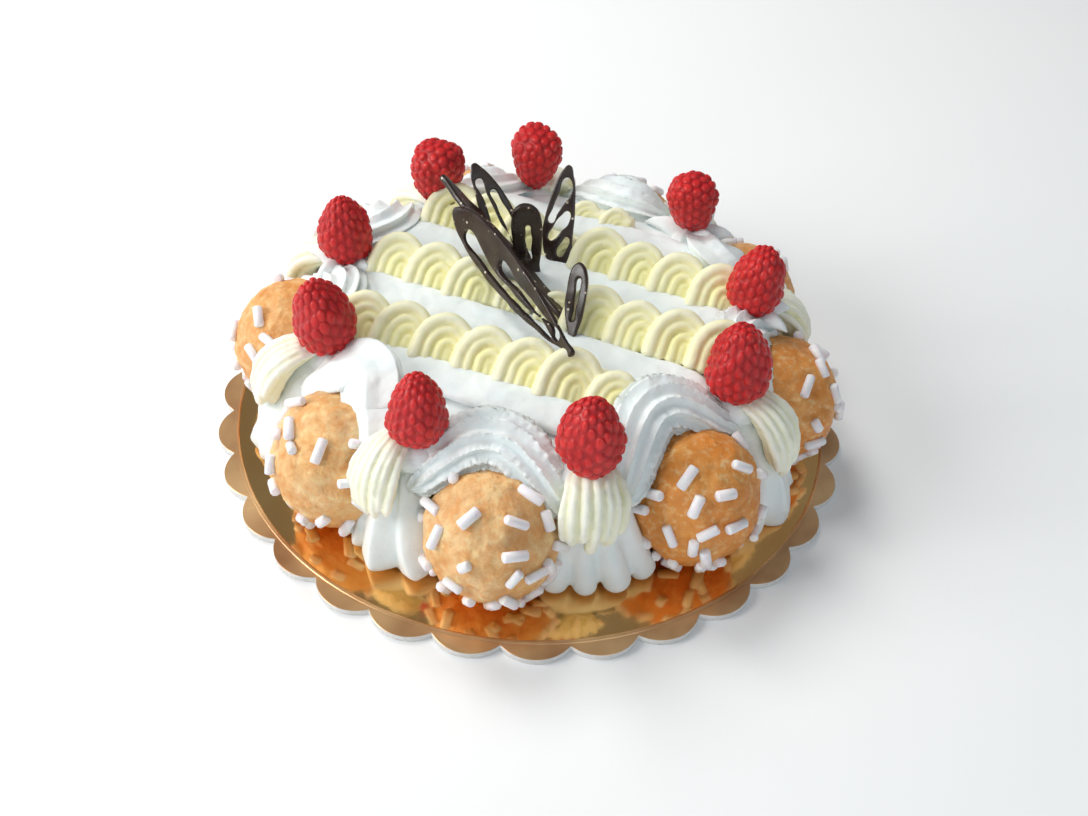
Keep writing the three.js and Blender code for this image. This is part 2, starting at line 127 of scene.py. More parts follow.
camera_data = bpy.data.cameras.new("camera")
camera_data.sensor_width = SENSOR_WIDTH
camera_data.lens = LENS
camera_data.shift_x, camera_data.shift_y = CAMERA_SHIFT
camera_data.clip_start = 10 * MM
camera = bpy.data.objects.new("camera", camera_data)
bpy.context.scene.collection.objects.link(camera)
camera.location = CAMERA_PLACE
camera.rotation_mode = "QUATERNION"
pitch = Quaternion((1, 0, 0), math.radians(CAMERA_PITCH))
camera.rotation_quaternion = pitch @ Quaternion((0, 0, 1), math.radians(CAMERA_ROLL))
bpy.context.scene.camera = camera
print("camera at", CAMERA_PLACE, "with a", LENS, "mm lens")

# %% [markdown]
# ## Working by hand, in code
# Blender's operators act on what is selected, so each helper first clears the selection and then picks one
# piece. `pick` goes into edit mode and selects vertices or faces by their place. `finish_with` adds one
# modifier and applies it at once, as the Apply button would. `serve` hands a finished piece to the frame.

# %% Helpers for modelling
def to_object_mode():
    if bpy.context.mode != "OBJECT":
        bpy.ops.object.mode_set(mode="OBJECT")
    bpy.ops.object.select_all(action="DESELECT")


def start(add_primitive, **settings):
    """Adds a primitive with nothing else selected, and puts its place and turn into its mesh."""
    to_object_mode()
    add_primitive(**settings)
    bpy.ops.object.transform_apply(location=True, rotation=True, scale=True)
    return bpy.context.object


def only(piece):
    to_object_mode()
    piece.select_set(True)
    bpy.context.view_layer.objects.active = piece


def pick(piece, test, kind="VERT"):
    """Goes into edit mode and selects the vertices or faces whose place passes a test."""
    only(piece)
    bpy.ops.object.mode_set(mode="EDIT")
    bpy.ops.mesh.select_mode(type=kind)
    bpy.ops.mesh.select_all(action="DESELECT")
    mesh = bmesh.from_edit_mesh(piece.data)
    parts = mesh.verts if kind == "VERT" else mesh.faces
    for part in parts:
        place = part.co if kind == "VERT" else part.calc_center_median()
        if test(place):
            part.select_set(True)
    mesh.select_flush(True)
    bmesh.update_edit_mesh(piece.data)


def pick_all(piece):
    pick(piece, lambda place: True)


def finish_with(piece, kind, **settings):
    only(piece)
    modifier = piece.modifiers.new(kind.title(), kind)
    for setting, value in settings.items():
        setattr(modifier, setting, value)
    bpy.ops.object.modifier_apply(modifier=modifier.name)


def smooth_out(piece, levels):
    finish_with(piece, "SUBSURF", levels=levels, render_levels=levels)


def put_in_scene(name, data):
    thing = bpy.data.objects.new(name, data)
    bpy.context.scene.collection.objects.link(thing)
    return thing


def copy_of(piece, name):
    twin = piece.copy()
    twin.data = piece.data.copy()
    twin.name = name
    bpy.context.scene.collection.objects.link(twin)
    return twin


def join(pieces):
    only(pieces[0])
    for piece in pieces[1:]:
        piece.select_set(True)
    bpy.ops.object.join()
    return pieces[0]


def place_mesh(piece, matrix):
    """Moves the mesh itself, so that the object stays at the origin."""
    piece.data.transform(matrix)
    piece.data.update()
    return piece


def turn_faces_out(piece):
    pick_all(piece)
    bpy.ops.mesh.remove_doubles(threshold=0.01 * MM)
    bpy.ops.mesh.normals_make_consistent(inside=False)
    bpy.ops.object.mode_set(mode="OBJECT")


def throw_away(*pieces):
    for piece in pieces:
        bpy.data.objects.remove(piece)


def relief(name, size, detail=2):
    """A noise that pushes a surface in and out; size is the width of its lumps."""
    texture = bpy.data.textures.new(name, "CLOUDS")
    texture.noise_scale = size
    texture.noise_depth = detail
    return texture


def ruffle(piece, texture, height, group=""):
    """Pushes a surface in and out by a relief, all over or as far as a vertex group lets it."""
    settings = {"texture": texture, "texture_coords": "LOCAL", "strength": height, "vertex_group": group}
    finish_with(piece, "DISPLACE", mid_level=0.5, **settings)


def fuse(piece, voxel, rounds=2):
    """Remeshes joined parts into one skin and softens the creases that are left between them."""
    finish_with(piece, "REMESH", mode="VOXEL", voxel_size=voxel)
    finish_with(piece, "SMOOTH", factor=0.5, iterations=rounds)


def mark(piece, name, values):
    """Keeps one number for each vertex, which a material can read."""
    piece.data.attributes.new(name, "FLOAT", "POINT").data.foreach_set("value", values)


def tree_of(points):
    """A search tree that finds the nearest of some points."""
    tree = KDTree(len(points))
    for index, point in enumerate(points):
        tree.insert(point, index)
    tree.balance()
    return tree


def serve(piece, name, material, slot, *nodes):
    """Names a finished piece, gives it its material and hands it to the frame."""
    only(piece)
    bpy.ops.object.shade_smooth()
    piece.name = name
    piece.data.name = name
    if material:
        piece.data.materials.clear()
        piece.data.materials.append(material)
    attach(piece, "root")
    if nodes:
        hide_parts(*nodes)
    return piece


def faces_of(*pieces):
    return sum(len(piece.data.polygons) for piece in pieces)


def serve_all(pieces, prefix, node, material, slot):
    """Serves pieces one after another, each in place of the node that has its number."""
    served = []
    for number, piece in enumerate(pieces, 1):
        name = f"{node}_{number}"
        served.append(serve(piece, f"{prefix}_{name}", material, slot, name))
    print(len(served), "of", node, "with", faces_of(*served), "faces")
    return served


print("helpers ready")

# %% [markdown]
# ## Finishes as expressions
# A material is a small program of nodes. `Wire` wraps one socket, so that `1 - mask` or `a * b` adds the
# Math node for us. `Finish` holds one material: its `node` method adds any other node, sets its settings
# first and then fills or links its inputs. Colours are mixed by Mix nodes, because Math would turn them grey.

# %% Wires and finishes
class Wire:
    """One output socket of a node tree, with Python's operators."""

    def __init__(self, finish, socket):
        self.finish = finish
        self.socket = socket

    def math(self, operation, *values):
        inputs = dict(enumerate(values))
        return self.finish.node("ShaderNodeMath", {"operation": operation}, inputs)

    def __add__(self, other):
        return self.math("ADD", self, other)

    __radd__ = __add__

    def __mul__(self, other):
        return self.math("MULTIPLY", self, other)

    def __rsub__(self, other):
        return self.math("SUBTRACT", other, self)

    def clamp(self, low, high):
        """Where this value lies between low and high, from 0 to 1."""
        inputs = {"Value": self, "From Min": low, "From Max": high}
        return self.finish.node("ShaderNodeMapRange", {"clamp": True}, inputs, "Result")


class Finish:
    """A material with one Principled shader, built up from nodes."""

    def __init__(self, name, **constants):
        self.material = bpy.data.materials.new(name)
        self.material.use_nodes = True
        self.tree = self.material.node_tree
        self.shader = self.tree.nodes["Principled BSDF"]
        for socket, value in constants.items():
            self.shader.inputs[socket.replace("_", " ")].default_value = value
        self.place = self.node("ShaderNodeTexCoord", output="Object")

    def node(self, kind, settings=None, inputs=None, output=0):
        node = self.tree.nodes.new(kind)
        for setting, value in (settings or {}).items():
            setattr(node, setting, value)
        for socket, value in (inputs or {}).items():
            if isinstance(value, Wire):
                self.tree.links.new(value.socket, node.inputs[socket])
            else:
                node.inputs[socket].default_value = value
        return Wire(self, node.outputs[output])

    def noise(self, width, detail=3, roughness=0.5):
        inputs = {"Vector": self.place, "Scale": 1 / width, "Detail": detail, "Roughness": roughness}
        return self.node("ShaderNodeTexNoise", None, inputs, "Fac")

    def cells(self, width):
        inputs = {"Vector": self.place, "Scale": 1 / width}
        return self.node("ShaderNodeTexVoronoi", None, inputs, "Distance")

    def attribute(self, name):
        return self.node("ShaderNodeAttribute", {"attribute_name": name}, None, "Fac")

    def axis(self, letter):
        return self.node("ShaderNodeSeparateXYZ", None, {0: self.place}, letter)

    def mix(self, share, first, second):
        return self.node("ShaderNodeMix", {"data_type": "RGBA"}, {0: share, 6: first, 7: second}, 2)

    def bump(self, height, distance, strength):
        inputs = {"Height": height, "Distance": distance, "Strength": strength}
        self.set("Normal", self.node("ShaderNodeBump", None, inputs, "Normal"))

    def set(self, socket, wire):
        self.tree.links.new(wire.socket, self.shader.inputs[socket])

    def scatter(self, weight, depth, tint):
        """Lets light in under the surface; tint is how far each colour gets, as a share of the depth."""
        self.shader.inputs["Subsurface Weight"].default_value = weight
        self.shader.inputs["Subsurface Scale"].default_value = depth
        self.shader.inputs["Subsurface Radius"].default_value = tint


def srgb(red, green, blue):
    """A colour as a picture shows it, from 0 to 255, turned into the linear light that shaders use."""

    def linear(channel):
        share = channel / 255
        return share / 12.92 if share <= 0.04045 else ((share + 0.055) / 1.055) ** 2.4

    return (linear(red), linear(green), linear(blue), 1)


print("shader helpers ready")

# %% [markdown]
# ## White and yellow cream
# Whipped cream is matt, nearly white and lets a little light through, so it has subsurface scattering and a
# fine bump of tiny bubbles. The yellow cream is custard folded into cream, ivory on its ridges. Its darker,
# deeper yellow in the grooves is painted shade. Ropes carry a `groove` attribute, 0 on a ridge and 1 in a
# groove.

# %% Cream materials
def make_white_cream():
    cream = Finish("white_cream", Roughness=0.48, Specular_IOR_Level=0.35)
    cream.scatter(0.35, 4 * MM, (1.0, 0.9, 0.8))
    blotch = cream.noise(9 * MM).clamp(0.35, 0.7)
    cream.set("Base Color", cream.mix(blotch, srgb(245, 251, 249), srgb(237, 246, 246)))
    bubbles = cream.noise(0.9 * MM, detail=4, roughness=0.65)
    cream.bump(bubbles, 0.25 * MM, 0.5)
    return cream.material


def make_yellow_cream(name, ridge_colour, shaded_groove_colour):
    cream = Finish(name, Roughness=0.42, Specular_IOR_Level=0.4)
    cream.scatter(0.35, 4 * MM, (1.0, 0.85, 0.5))
    # Painted shade: the colour turns darker and more yellow with `groove`, from the ridges into the grooves.
    depth = (cream.attribute("groove") * 0.85 + cream.noise(7 * MM) * 0.5).clamp(0.15, 1.15)
    cream.set("Base Color", cream.mix(depth, ridge_colour, shaded_groove_colour))
    bubbles = cream.noise(1.1 * MM, detail=4, roughness=0.6)
    cream.bump(bubbles, 0.2 * MM, 0.4)
    return cream.material


WHITE_CREAM = make_white_cream()
YELLOW_CREAM = make_yellow_cream("yellow_cream", srgb(248, 245, 220), srgb(241, 234, 172))
IVORY_CREAM = make_yellow_cream("ivory_cream", srgb(250, 250, 238), srgb(242, 240, 206))
print("made", WHITE_CREAM.name + ",", YELLOW_CREAM.name, "and", IVORY_CREAM.name)

# %% [markdown]
# ## Choux and pearl sugar
# A choux puff bakes golden. Painted shade makes it darker orange in its cracks and near its foot. Its skin is
# a little shiny from egg wash. Pearl sugar is opaque and white, with a rough, sparkling skin.

# %% Choux and sugar materials
def make_choux():
    crust = Finish("choux", Specular_IOR_Level=0.4)
    crust.scatter(0.12, 3 * MM, (1.0, 0.55, 0.25))
    bake = crust.noise(15 * MM, detail=2).clamp(0.32, 0.68)
    mottle = crust.noise(3.6 * MM, detail=5, roughness=0.6).clamp(0.38, 0.66)
    crags = crust.attribute("crag").clamp(0.2, 0.9)
    foot = 1 - crust.axis("Z").clamp(4 * MM, 22 * MM)
    flecks = crust.noise(2.2 * MM, detail=4, roughness=0.6).clamp(0.5, 0.74)
    pale = crust.mix(bake, srgb(251, 232, 184), srgb(246, 212, 148))
    brown = crust.mix(bake, srgb(244, 174, 90), srgb(230, 138, 56))
    golden = crust.mix(crust.attribute("browning"), pale, brown)
    spotted = crust.mix(mottle * 0.55, golden, srgb(228, 138, 48))
    mottled = crust.mix(flecks * 0.7, spotted, srgb(255, 236, 180))
    # Painted shade: darker orange in the cracks, where `crag` is low, and towards the foot.
    shaded_cracks = crust.mix((1 - crags) * 0.5, mottled, srgb(204, 122, 46))
    crust.set("Base Color", crust.mix(foot * 0.5, shaded_cracks, srgb(216, 124, 42)))
    crust.set("Roughness", 0.42 + mottle * 0.2)
    pores = crust.noise(1.0 * MM, detail=5, roughness=0.7)
    crust.bump(pores + mottle * 1.5, 0.35 * MM, 0.6)
    return crust.material


def make_sugar():
    sugar = Finish("pearl_sugar", Roughness=0.42)
    sugar.scatter(0.25, 1.5 * MM, (1.0, 0.2, 0.1))
    grains = sugar.noise(0.6 * MM, detail=3)
    sugar.set("Base Color", sugar.mix(grains, srgb(252, 250, 250), srgb(238, 234, 240)))
    sugar.bump(grains, 0.2 * MM, 0.5)
    return sugar.material


CHOUX = make_choux()
PEARL_SUGAR = make_sugar()
print("made", CHOUX.name, "and", PEARL_SUGAR.name)

# %% [markdown]
# ## Berries, chocolate, gold card and the floor
# A berry is deep red and a little glossy, with painted shade darker between its sacs. The chocolate is
# nearly black, with a soft sheen and a few crumbs. The board is card with gold foil: a mirror that is
# slightly wavy, browner on its scalloped rim outside the pressed line, with broad lighter patches of painted
# sheen and the white card showing at its cut edge.

# %% Berry, chocolate and board materials
def make_berry_red():
    skin = Finish("red_berry", Specular_IOR_Level=0.4)
    skin.scatter(0.2, 2 * MM, (1.0, 0.2, 0.15))
    crease = skin.attribute("crease").clamp(0.1, 0.95)
    ripe = skin.noise(8 * MM, detail=2).clamp(0.3, 0.7)
    fresh = skin.mix(ripe, srgb(216, 48, 46), srgb(192, 32, 36))
    # Painted shade: darker red between the sacs, where `crease` is deep.
    skin.set("Base Color", skin.mix(crease * 0.55, fresh, srgb(158, 20, 26)))
    skin.set("Roughness", 0.34 + ripe * 0.14)
    skin.bump(skin.noise(0.5 * MM, detail=2), 0.08 * MM, 0.5)
    return skin.material


def make_chocolate():
    dark = Finish("dark_chocolate", Specular_IOR_Level=0.6)
    bloom = dark.noise(6 * MM, detail=4).clamp(0.4, 0.75)
    crumbs = 1 - dark.cells(2.6 * MM).clamp(0.14, 0.2)
    sparse = dark.noise(7 * MM, detail=1).clamp(0.49, 0.55)
    brown = dark.mix(bloom, srgb(40, 26, 20), srgb(58, 42, 33))
    dark.set("Base Color", dark.mix(crumbs * sparse, brown, srgb(214, 200, 178)))
    dark.set("Roughness", 0.26 + bloom * 0.2)
    dark.bump(dark.noise(2.5 * MM, detail=3), 0.12 * MM, 0.5)
    return dark.material


RIM_LINE = 102.6 * MM
RIM_BLEND = 0.8 * MM


def make_gold_foil():
    foil = Finish("gold_card", Coat_Weight=0.5, Coat_Roughness=0.05)
    across = foil.axis("X")
    along = foil.axis("Y")
    squared = across * across + along * along
    rim = squared.math("SQRT", squared).clamp(RIM_LINE, RIM_LINE + RIM_BLEND)
    # Painted sheen: broad patches lighten and darken the foil's colour; they also vary its roughness.
    sheen_patches = foil.noise(30 * MM, detail=3).clamp(0.35, 0.7)
    inner = foil.mix(sheen_patches, srgb(250, 196, 122), srgb(238, 176, 100))
    outer = foil.mix(sheen_patches, srgb(246, 200, 144), srgb(178, 126, 82))
    foil.set("Base Color", foil.mix(rim, inner, outer))
    foil.set("Roughness", 0.07 + rim * 0.2 + sheen_patches * 0.08)
    foil.set("Metallic", 1 - rim * 0.4)
    ripples = foil.noise(11 * MM, detail=2) + foil.noise(2 * MM, detail=2) * 0.12
    foil.bump(ripples, 0.35 * MM, 0.35)
    return foil.material


def make_white_card():
    card = Finish("white_card", Roughness=0.7)
    fibres = card.noise(1.5 * MM, detail=4)
    card.set("Base Color", card.mix(fibres, srgb(236, 234, 230), srgb(205, 200, 196)))
    card.bump(fibres, 0.1 * MM, 0.5)
    return card.material


def make_floor_white():
    paint = Finish("pale_floor", Roughness=0.9)
    grain = paint.noise(120 * MM, detail=2)
    paint.set("Base Color", paint.mix(grain, srgb(253, 253, 253), srgb(250, 250, 251)))
    return paint.material


BERRY_RED = make_berry_red()
CHOCOLATE = make_chocolate()
GOLD_FOIL = make_gold_foil()
WHITE_CARD = make_white_card()
FLOOR_WHITE = make_floor_white()
print("made", len(bpy.data.materials), "materials with those of the frame")

# %% [markdown]
# ## Floor and light
# The photo was taken in soft light from the upper left and then set on white. A wide pale floor catches the
# soft shadow. The key lamp hangs behind the cake and is kept out of the board's mirror. A wide lamp stands at
# the left and a weak, bluish one fills from the front. Plain colours come out truest with the Standard view.

# %% Floor, lamps and world
FLOOR_SIZE = 8
LAMP_TARGET = Vector((0, 0, 30 * MM))
SKY_TINT = (0.88, 0.95, 1.0, 1)
SKY_STRENGTH = 0.24

floor = start(bpy.ops.mesh.primitive_grid_add, x_subdivisions=8, y_subdivisions=8, size=FLOOR_SIZE)
floor.name = "floor"
floor.data.materials.append(FLOOR_WHITE)


def add_lamp(name, place, width, watts, tint, mirrored=True):
    lamp_data = bpy.data.lights.new(name, "AREA")
    lamp_data.size = width
    lamp_data.energy = watts
    lamp_data.color = tint
    lamp = put_in_scene(name, lamp_data)
    lamp.location = place
    lamp.visible_glossy = mirrored
    aim = LAMP_TARGET - Vector(place)
    lamp.rotation_euler = aim.to_track_quat("-Z", "Y").to_euler()


add_lamp("key_lamp", (-0.35, 0.55, 0.95), width=0.45, watts=6.9, tint=(1.0, 0.99, 0.95), mirrored=False)
add_lamp("left_lamp", (-0.95, -0.25, 0.6), width=0.6, watts=9, tint=(1.0, 1.0, 0.98))
add_lamp("front_lamp", (0.3, -0.95, 0.6), width=0.9, watts=2.7, tint=(0.82, 0.92, 1.0))

world = bpy.data.worlds.new("studio")
world.use_nodes = True
sky = world.node_tree.nodes["Background"]
sky.inputs["Color"].default_value = SKY_TINT
sky.inputs["Strength"].default_value = SKY_STRENGTH
bpy.context.scene.world = world
bpy.context.scene.view_settings.view_transform = "Standard"
print("three lamps over a pale floor")

# %% [markdown]
# ## The gold board
# The board's edge is a ring of 31 round scallops. We could draw every point, but one scallop is enough: a
# small circle is bisected to keep its outer arc, and Spin copies it round the middle. The merged outline is
# filled, extruded down for the card's thickness, and the top edge is bevelled. The pressed line is a thin
# torus, flattened and joined on.

# %% Board
BOARD_RADIUS = 110 * MM
CUSP_RADIUS = 105.2 * MM
SCALLOPS = 31
CARD_BEVEL = 0.3 * MM
BEAD_RADIUS = 103.6 * MM
BEAD_THICKNESS = 0.8 * MM
BEAD_FLATNESS = 0.55


def make_scalloped_card():
    pitch = 2 * math.pi / SCALLOPS
    half_chord = CUSP_RADIUS * math.sin(pitch / 2)
    cut = CUSP_RADIUS * math.cos(pitch / 2)
    rise = BOARD_RADIUS - cut
    arc_radius = (half_chord**2 + rise**2) / (2 * rise)
    board = start(
        bpy.ops.mesh.primitive_circle_add,
        vertices=64,
        radius=arc_radius,
        location=(BOARD_RADIUS - arc_radius, 0, BOARD_TOP),
    )
    pick_all(board)
    bpy.ops.mesh.bisect(plane_co=(cut, 0, 0), plane_no=(1, 0, 0), clear_inner=True)
    bpy.ops.mesh.select_all(action="SELECT")
    bpy.ops.transform.rotate(value=-pitch / 2, orient_axis="Z", center_override=(0, 0, 0))
    bpy.ops.mesh.spin(
        steps=SCALLOPS - 1,
        dupli=True,
        angle=2 * math.pi - pitch,
        center=(0, 0, BOARD_TOP),
        axis=(0, 0, 1),
    )
    bpy.ops.mesh.select_all(action="SELECT")
    bpy.ops.mesh.remove_doubles(threshold=0.05 * MM)
    bpy.ops.mesh.edge_face_add()
    bpy.ops.mesh.extrude_region_move(TRANSFORM_OT_translate={"value": (0, 0, -BOARD_TOP)})
    turn_faces_out(board)
    finish_with(board, "BEVEL", width=CARD_BEVEL, segments=2, limit_method="ANGLE", angle_limit=SHARP_EDGE)
    board.data.materials.append(GOLD_FOIL)
    board.data.materials.append(WHITE_CARD)
    for face in board.data.polygons:
        face.material_index = 0 if face.normal.z > 0.5 else 1
    return board


def make_pressed_line():
    bead = start(
        bpy.ops.mesh.primitive_torus_add,
        major_segments=180,
        minor_segments=12,
        major_radius=BEAD_RADIUS,
        minor_radius=BEAD_THICKNESS,
        location=(0, 0, BOARD_TOP),
    )
    pick_all(bead)
    bpy.ops.transform.resize(value=(1, 1, BEAD_FLATNESS), center_override=(0, 0, BOARD_TOP))
    bpy.ops.object.mode_set(mode="OBJECT")
    bead.data.materials.append(GOLD_FOIL)
    return bead


def settle_bearing(board):
    """Turns the board so that its cusps lie at multiples of the pitch and a scallop's middle half-way."""
    farthest = max(board.data.vertices, key=lambda vertex: vertex.co.to_2d().length).co
    tip = math.degrees(math.atan2(farthest.y, farthest.x))
    wanted = (round(tip / (360 / SCALLOPS) - 0.5) + 0.5) * 360 / SCALLOPS
    place_mesh(board, Matrix.Rotation(math.radians(wanted - tip), 4, "Z"))


board = join([make_scalloped_card(), make_pressed_line()])
settle_bearing(board)
serve(board, "gold_board", None, "gold_card", "board")
print("board with", SCALLOPS, "scallops and", faces_of(board), "faces")

# %% [markdown]
# ## Cream ropes from a star nozzle
# Every piped shape here comes from a star nozzle: a rope with ridges and grooves along it. We model the
# rope once, straight along X. A circle gets four vertices for each rib, and the ones in the grooves are
# scaled in. The ring is then extruded step by step. A Curve modifier later lays a copy along its own line,
# where the radius of each point sets the rope's thickness and its tilt turns the ridges to face outwards.

# %% Rope maker
STATIONS = 41
LEAST_THICKNESS = 0.06


def rib_phase(place, ribs):
    """0 on a ridge and 0.5 in a groove, for a place round the X axis."""
    return (math.atan2(place.y, place.z) * ribs / (2 * math.pi)) % 1


def star_rope(name, ribs, shoulder, groove, steps, levels=1, sharp=0.0):
    """A straight rope of radius 1 from x = 0 to 1, with its `groove` attribute and `ridge` vertex group."""
    rope = start(bpy.ops.mesh.primitive_circle_add, vertices=4 * ribs, radius=1, rotation=(0, math.pi / 2, 0))
    pick(rope, lambda place: abs(rib_phase(place, ribs) - 0.5) < 0.1)
    bpy.ops.transform.resize(value=(1, groove, groove), center_override=(0, 0, 0))
    pick(rope, lambda place: abs(abs(rib_phase(place, ribs) - 0.5) - 0.25) < 0.1)
    bpy.ops.transform.resize(value=(1, shoulder, shoulder), center_override=(0, 0, 0))
    bpy.ops.mesh.select_all(action="SELECT")
    for _ in range(steps):
        bpy.ops.mesh.extrude_region_move(TRANSFORM_OT_translate={"value": (1 / steps, 0, 0)})
    bpy.ops.mesh.edge_face_add()
    pick(rope, lambda place: place.x < 0.5 / steps)
    bpy.ops.mesh.edge_face_add()
    turn_faces_out(rope)
    if sharp:
        pick(rope, lambda place: abs(rib_phase(place, ribs) - 0.5) > 0.4)
        bpy.ops.transform.edge_crease(value=sharp)
    smooth_out(rope, levels)
    depths = [0.5 - 0.5 * math.cos(2 * math.pi * rib_phase(vertex.co, ribs)) for vertex in rope.data.vertices]
    ridges = rope.vertex_groups.new(name="ridge")
    for index, depth in enumerate(depths):
        ridges.add([index], (1 - depth) ** 2, "REPLACE")
    mark(rope, "groove", depths)
    rope.name = name
    return rope


def stretch_section(rope, half_width, half_depth, under=None):
    """Makes a round rope oval: y is its width, z its depth, and under scales what lies below its middle."""
    pick_all(rope)
    bpy.ops.transform.resize(value=(1, half_width, half_depth), center_override=(0, 0, 0))
    if under is not None:
        pick(rope, lambda place: place.z < 0)
        bpy.ops.transform.resize(value=(1, 1, under), center_override=(0, 0, 0))
    bpy.ops.object.mode_set(mode="OBJECT")
    return rope


def pipe(rope, name, line, size, face, up=UP):
    """Lays a copy of a rope along line(t), as thick as size(t), with its top turned towards face(t)."""
    shares = [k / (STATIONS - 1) for k in range(STATIONS)]
    turn = up.rotation_difference(UP).to_matrix()
    points = [turn @ line(t) for t in shares]
    curve = bpy.data.curves.new(name + "_line", "CURVE")
    curve.dimensions = "3D"
    curve.twist_mode = "Z_UP"
    curve.use_radius = True
    curve.use_stretch = True
    curve.use_deform_bounds = True
    spline = curve.splines.new("POLY")
    spline.points.add(STATIONS - 1)
    for k, share in enumerate(shares):
        ahead = (points[min(k + 1, STATIONS - 1)] - points[max(k - 1, 0)]).normalized()
        lifted = (UP - UP.dot(ahead) * ahead).normalized()
        left = lifted.cross(ahead)
        facing = turn @ face(share)
        spline.points[k].co = (*points[k], 1)
        spline.points[k].radius = size(share)
        spline.points[k].tilt = math.atan2(-facing.dot(left), facing.dot(lifted))
    guide = put_in_scene(name + "_line", curve)
    piece = copy_of(rope, name)
    finish_with(piece, "CURVE", object=guide, deform_axis="POS_X")
    throw_away(guide)
    return place_mesh(piece, turn.inverted().to_4x4())


def rounded(t, blunt_start, blunt_end):
    """1 along a rope, falling off roundly over a share of it at each end."""
    first = min(1, t / blunt_start) if blunt_start else 1
    last = min(1, (1 - t) / blunt_end) if blunt_end else 1
    return max(LEAST_THICKNESS, math.sqrt(1 - (1 - first) ** 2) * math.sqrt(1 - (1 - last) ** 2))


print("rope maker ready")

# %% [markdown]
# ## The cake under the cream
# The cake itself is covered in white cream, and only its top and some of its side show. A circle at the
# foot is extruded and scaled ring by ring, like turning a pot, and the top is closed by insets. A soft
# relief leaves the marks of a palette knife.

# %% Cake
CAKE_FOOT_RADIUS = 58.8 * MM
# Radius and height of each ring, in mm
CAKE_WALL = [(58.8, 27), (60.5, 32), (63, 36), (66.5, 40.5), (70.5, 43)]
CAKE_LID = [(70.5, 45), (67, 46.3), (56, 46.3), (30, 46.1)]
KNIFE_MARKS = relief("knife_marks", 13 * MM)


def make_cake():
    radius, height = CAKE_FOOT_RADIUS, BOARD_TOP
    cake = start(bpy.ops.mesh.primitive_circle_add, vertices=120, radius=radius, location=(0, 0, height))
    pick_all(cake)
    for next_radius, next_height in CAKE_WALL + CAKE_LID:
        rise = next_height * MM - height
        bpy.ops.mesh.extrude_region_move(TRANSFORM_OT_translate={"value": (0, 0, rise)})
        share = next_radius * MM / radius
        bpy.ops.transform.resize(value=(share, share, 1), center_override=(0, 0, 0))
        radius, height = next_radius * MM, next_height * MM
    bpy.ops.mesh.edge_face_add()
    pick(cake, lambda place: place.z < BOARD_TOP + 0.1 * MM)
    bpy.ops.mesh.edge_face_add()
    turn_faces_out(cake)
    smooth_out(cake, 2)
    ruffle(cake, KNIFE_MARKS, 1.2 * MM)
    return cake


cake = serve(make_cake(), "cream_cake", WHITE_CREAM, "white_cream", "cake")
print("cake with", faces_of(cake), "faces")

# %% [markdown]
# ## Choux puffs
# A puff starts as an icosphere, stretched a little upwards. Three reliefs give it lumps, wrinkles and fine
# crags, and its foot is pressed flat. How far wrinkles and crags rise is kept in an attribute, which the
# crust reads to paint shade into its cracks.

# %% Puffs
LUMPS = relief("puff_lumps", 17 * MM, detail=1)
WRINKLES = relief("puff_wrinkles", 5.5 * MM, detail=3)
CRAGS = relief("puff_crags", 1.6 * MM, detail=3)
CRAG_RANGE = 1.2 * MM
PRESSED = 0.3 * MM
PUFF_BROWNINGS = [0.6, 0.4, 0.6, 0.3, 0.5, 0.15, 0.2, 0.95, 0.85]


def set_down(piece):
    """Presses flat whatever would reach into the board."""
    pick(piece, lambda place: place.z < BOARD_TOP + PRESSED)
    bpy.ops.transform.resize(value=(1, 1, 0), center_override=(0, 0, BOARD_TOP + PRESSED / 2))
    bpy.ops.object.mode_set(mode="OBJECT")


def make_puff(bay, browning):
    puff = start(bpy.ops.mesh.primitive_ico_sphere_add, subdivisions=6, radius=PUFF_RADIUS)
    place_mesh(puff, Matrix.Translation(bay.puff_centre) @ Matrix.Diagonal((1, 1, bay.puff_tall, 1)))
    ruffle(puff, LUMPS, 2.6 * MM)
    smooth = [(vertex.co - bay.puff_centre).length for vertex in puff.data.vertices]
    ruffle(puff, WRINKLES, 1.7 * MM)
    ruffle(puff, CRAGS, 0.5 * MM)
    rough = [(vertex.co - bay.puff_centre).length for vertex in puff.data.vertices]
    mark(puff, "crag", [0.5 + (after - before) / CRAG_RANGE for before, after in zip(smooth, rough)])
    mark(puff, "browning", [browning] * len(rough))
    set_down(puff)
    return puff


new_puffs = (make_puff(bay, browning) for bay, browning in zip(BAYS, PUFF_BROWNINGS))
puffs = serve_all(new_puffs, "choux", "puff", CHOUX, "choux")

# %% [markdown]
# ## Pearl sugar
# Nibs of pearl sugar are short rods and a few crumbs. One nib is a small cylinder with bevelled ends. Each
# copy is dropped onto its puff by a ray from outside, so that it lies on the crust and sinks in a little.
# There are hundreds, so one nib has only a few dozen faces and all of them are one mesh. Every puff has a
# seed of its own. The seeds of the puffs at the front were picked for nibs that fall about as in the photo.

# %% Sugar nibs
NIBS_SPREAD = 26
NIBS_AT_FOOT = 9
NIB_RADIUS = 1.65 * MM
NIB_LENGTH = 7.4 * MM
NIB_BEVEL = 0.4 * MM
NIB_SPACING = 6.3 * MM
NIB_SWING = 115
NIB_SUNK = 0.55
SPREAD_HEIGHTS = (-0.7, 0.86)
FOOT_HEIGHTS = (-0.86, -0.7)
CRUMB_SHARE = 0.25
NIB_SEEDS = [1, 2, 3, 4, 427, 282, 1219, 2089, 1023]


def make_nib():
    nib = start(bpy.ops.mesh.primitive_cylinder_add, vertices=8, radius=NIB_RADIUS, depth=NIB_LENGTH)
    finish_with(nib, "BEVEL", width=NIB_BEVEL, segments=1, limit_method="ANGLE", angle_limit=SHARP_EDGE)
    return nib


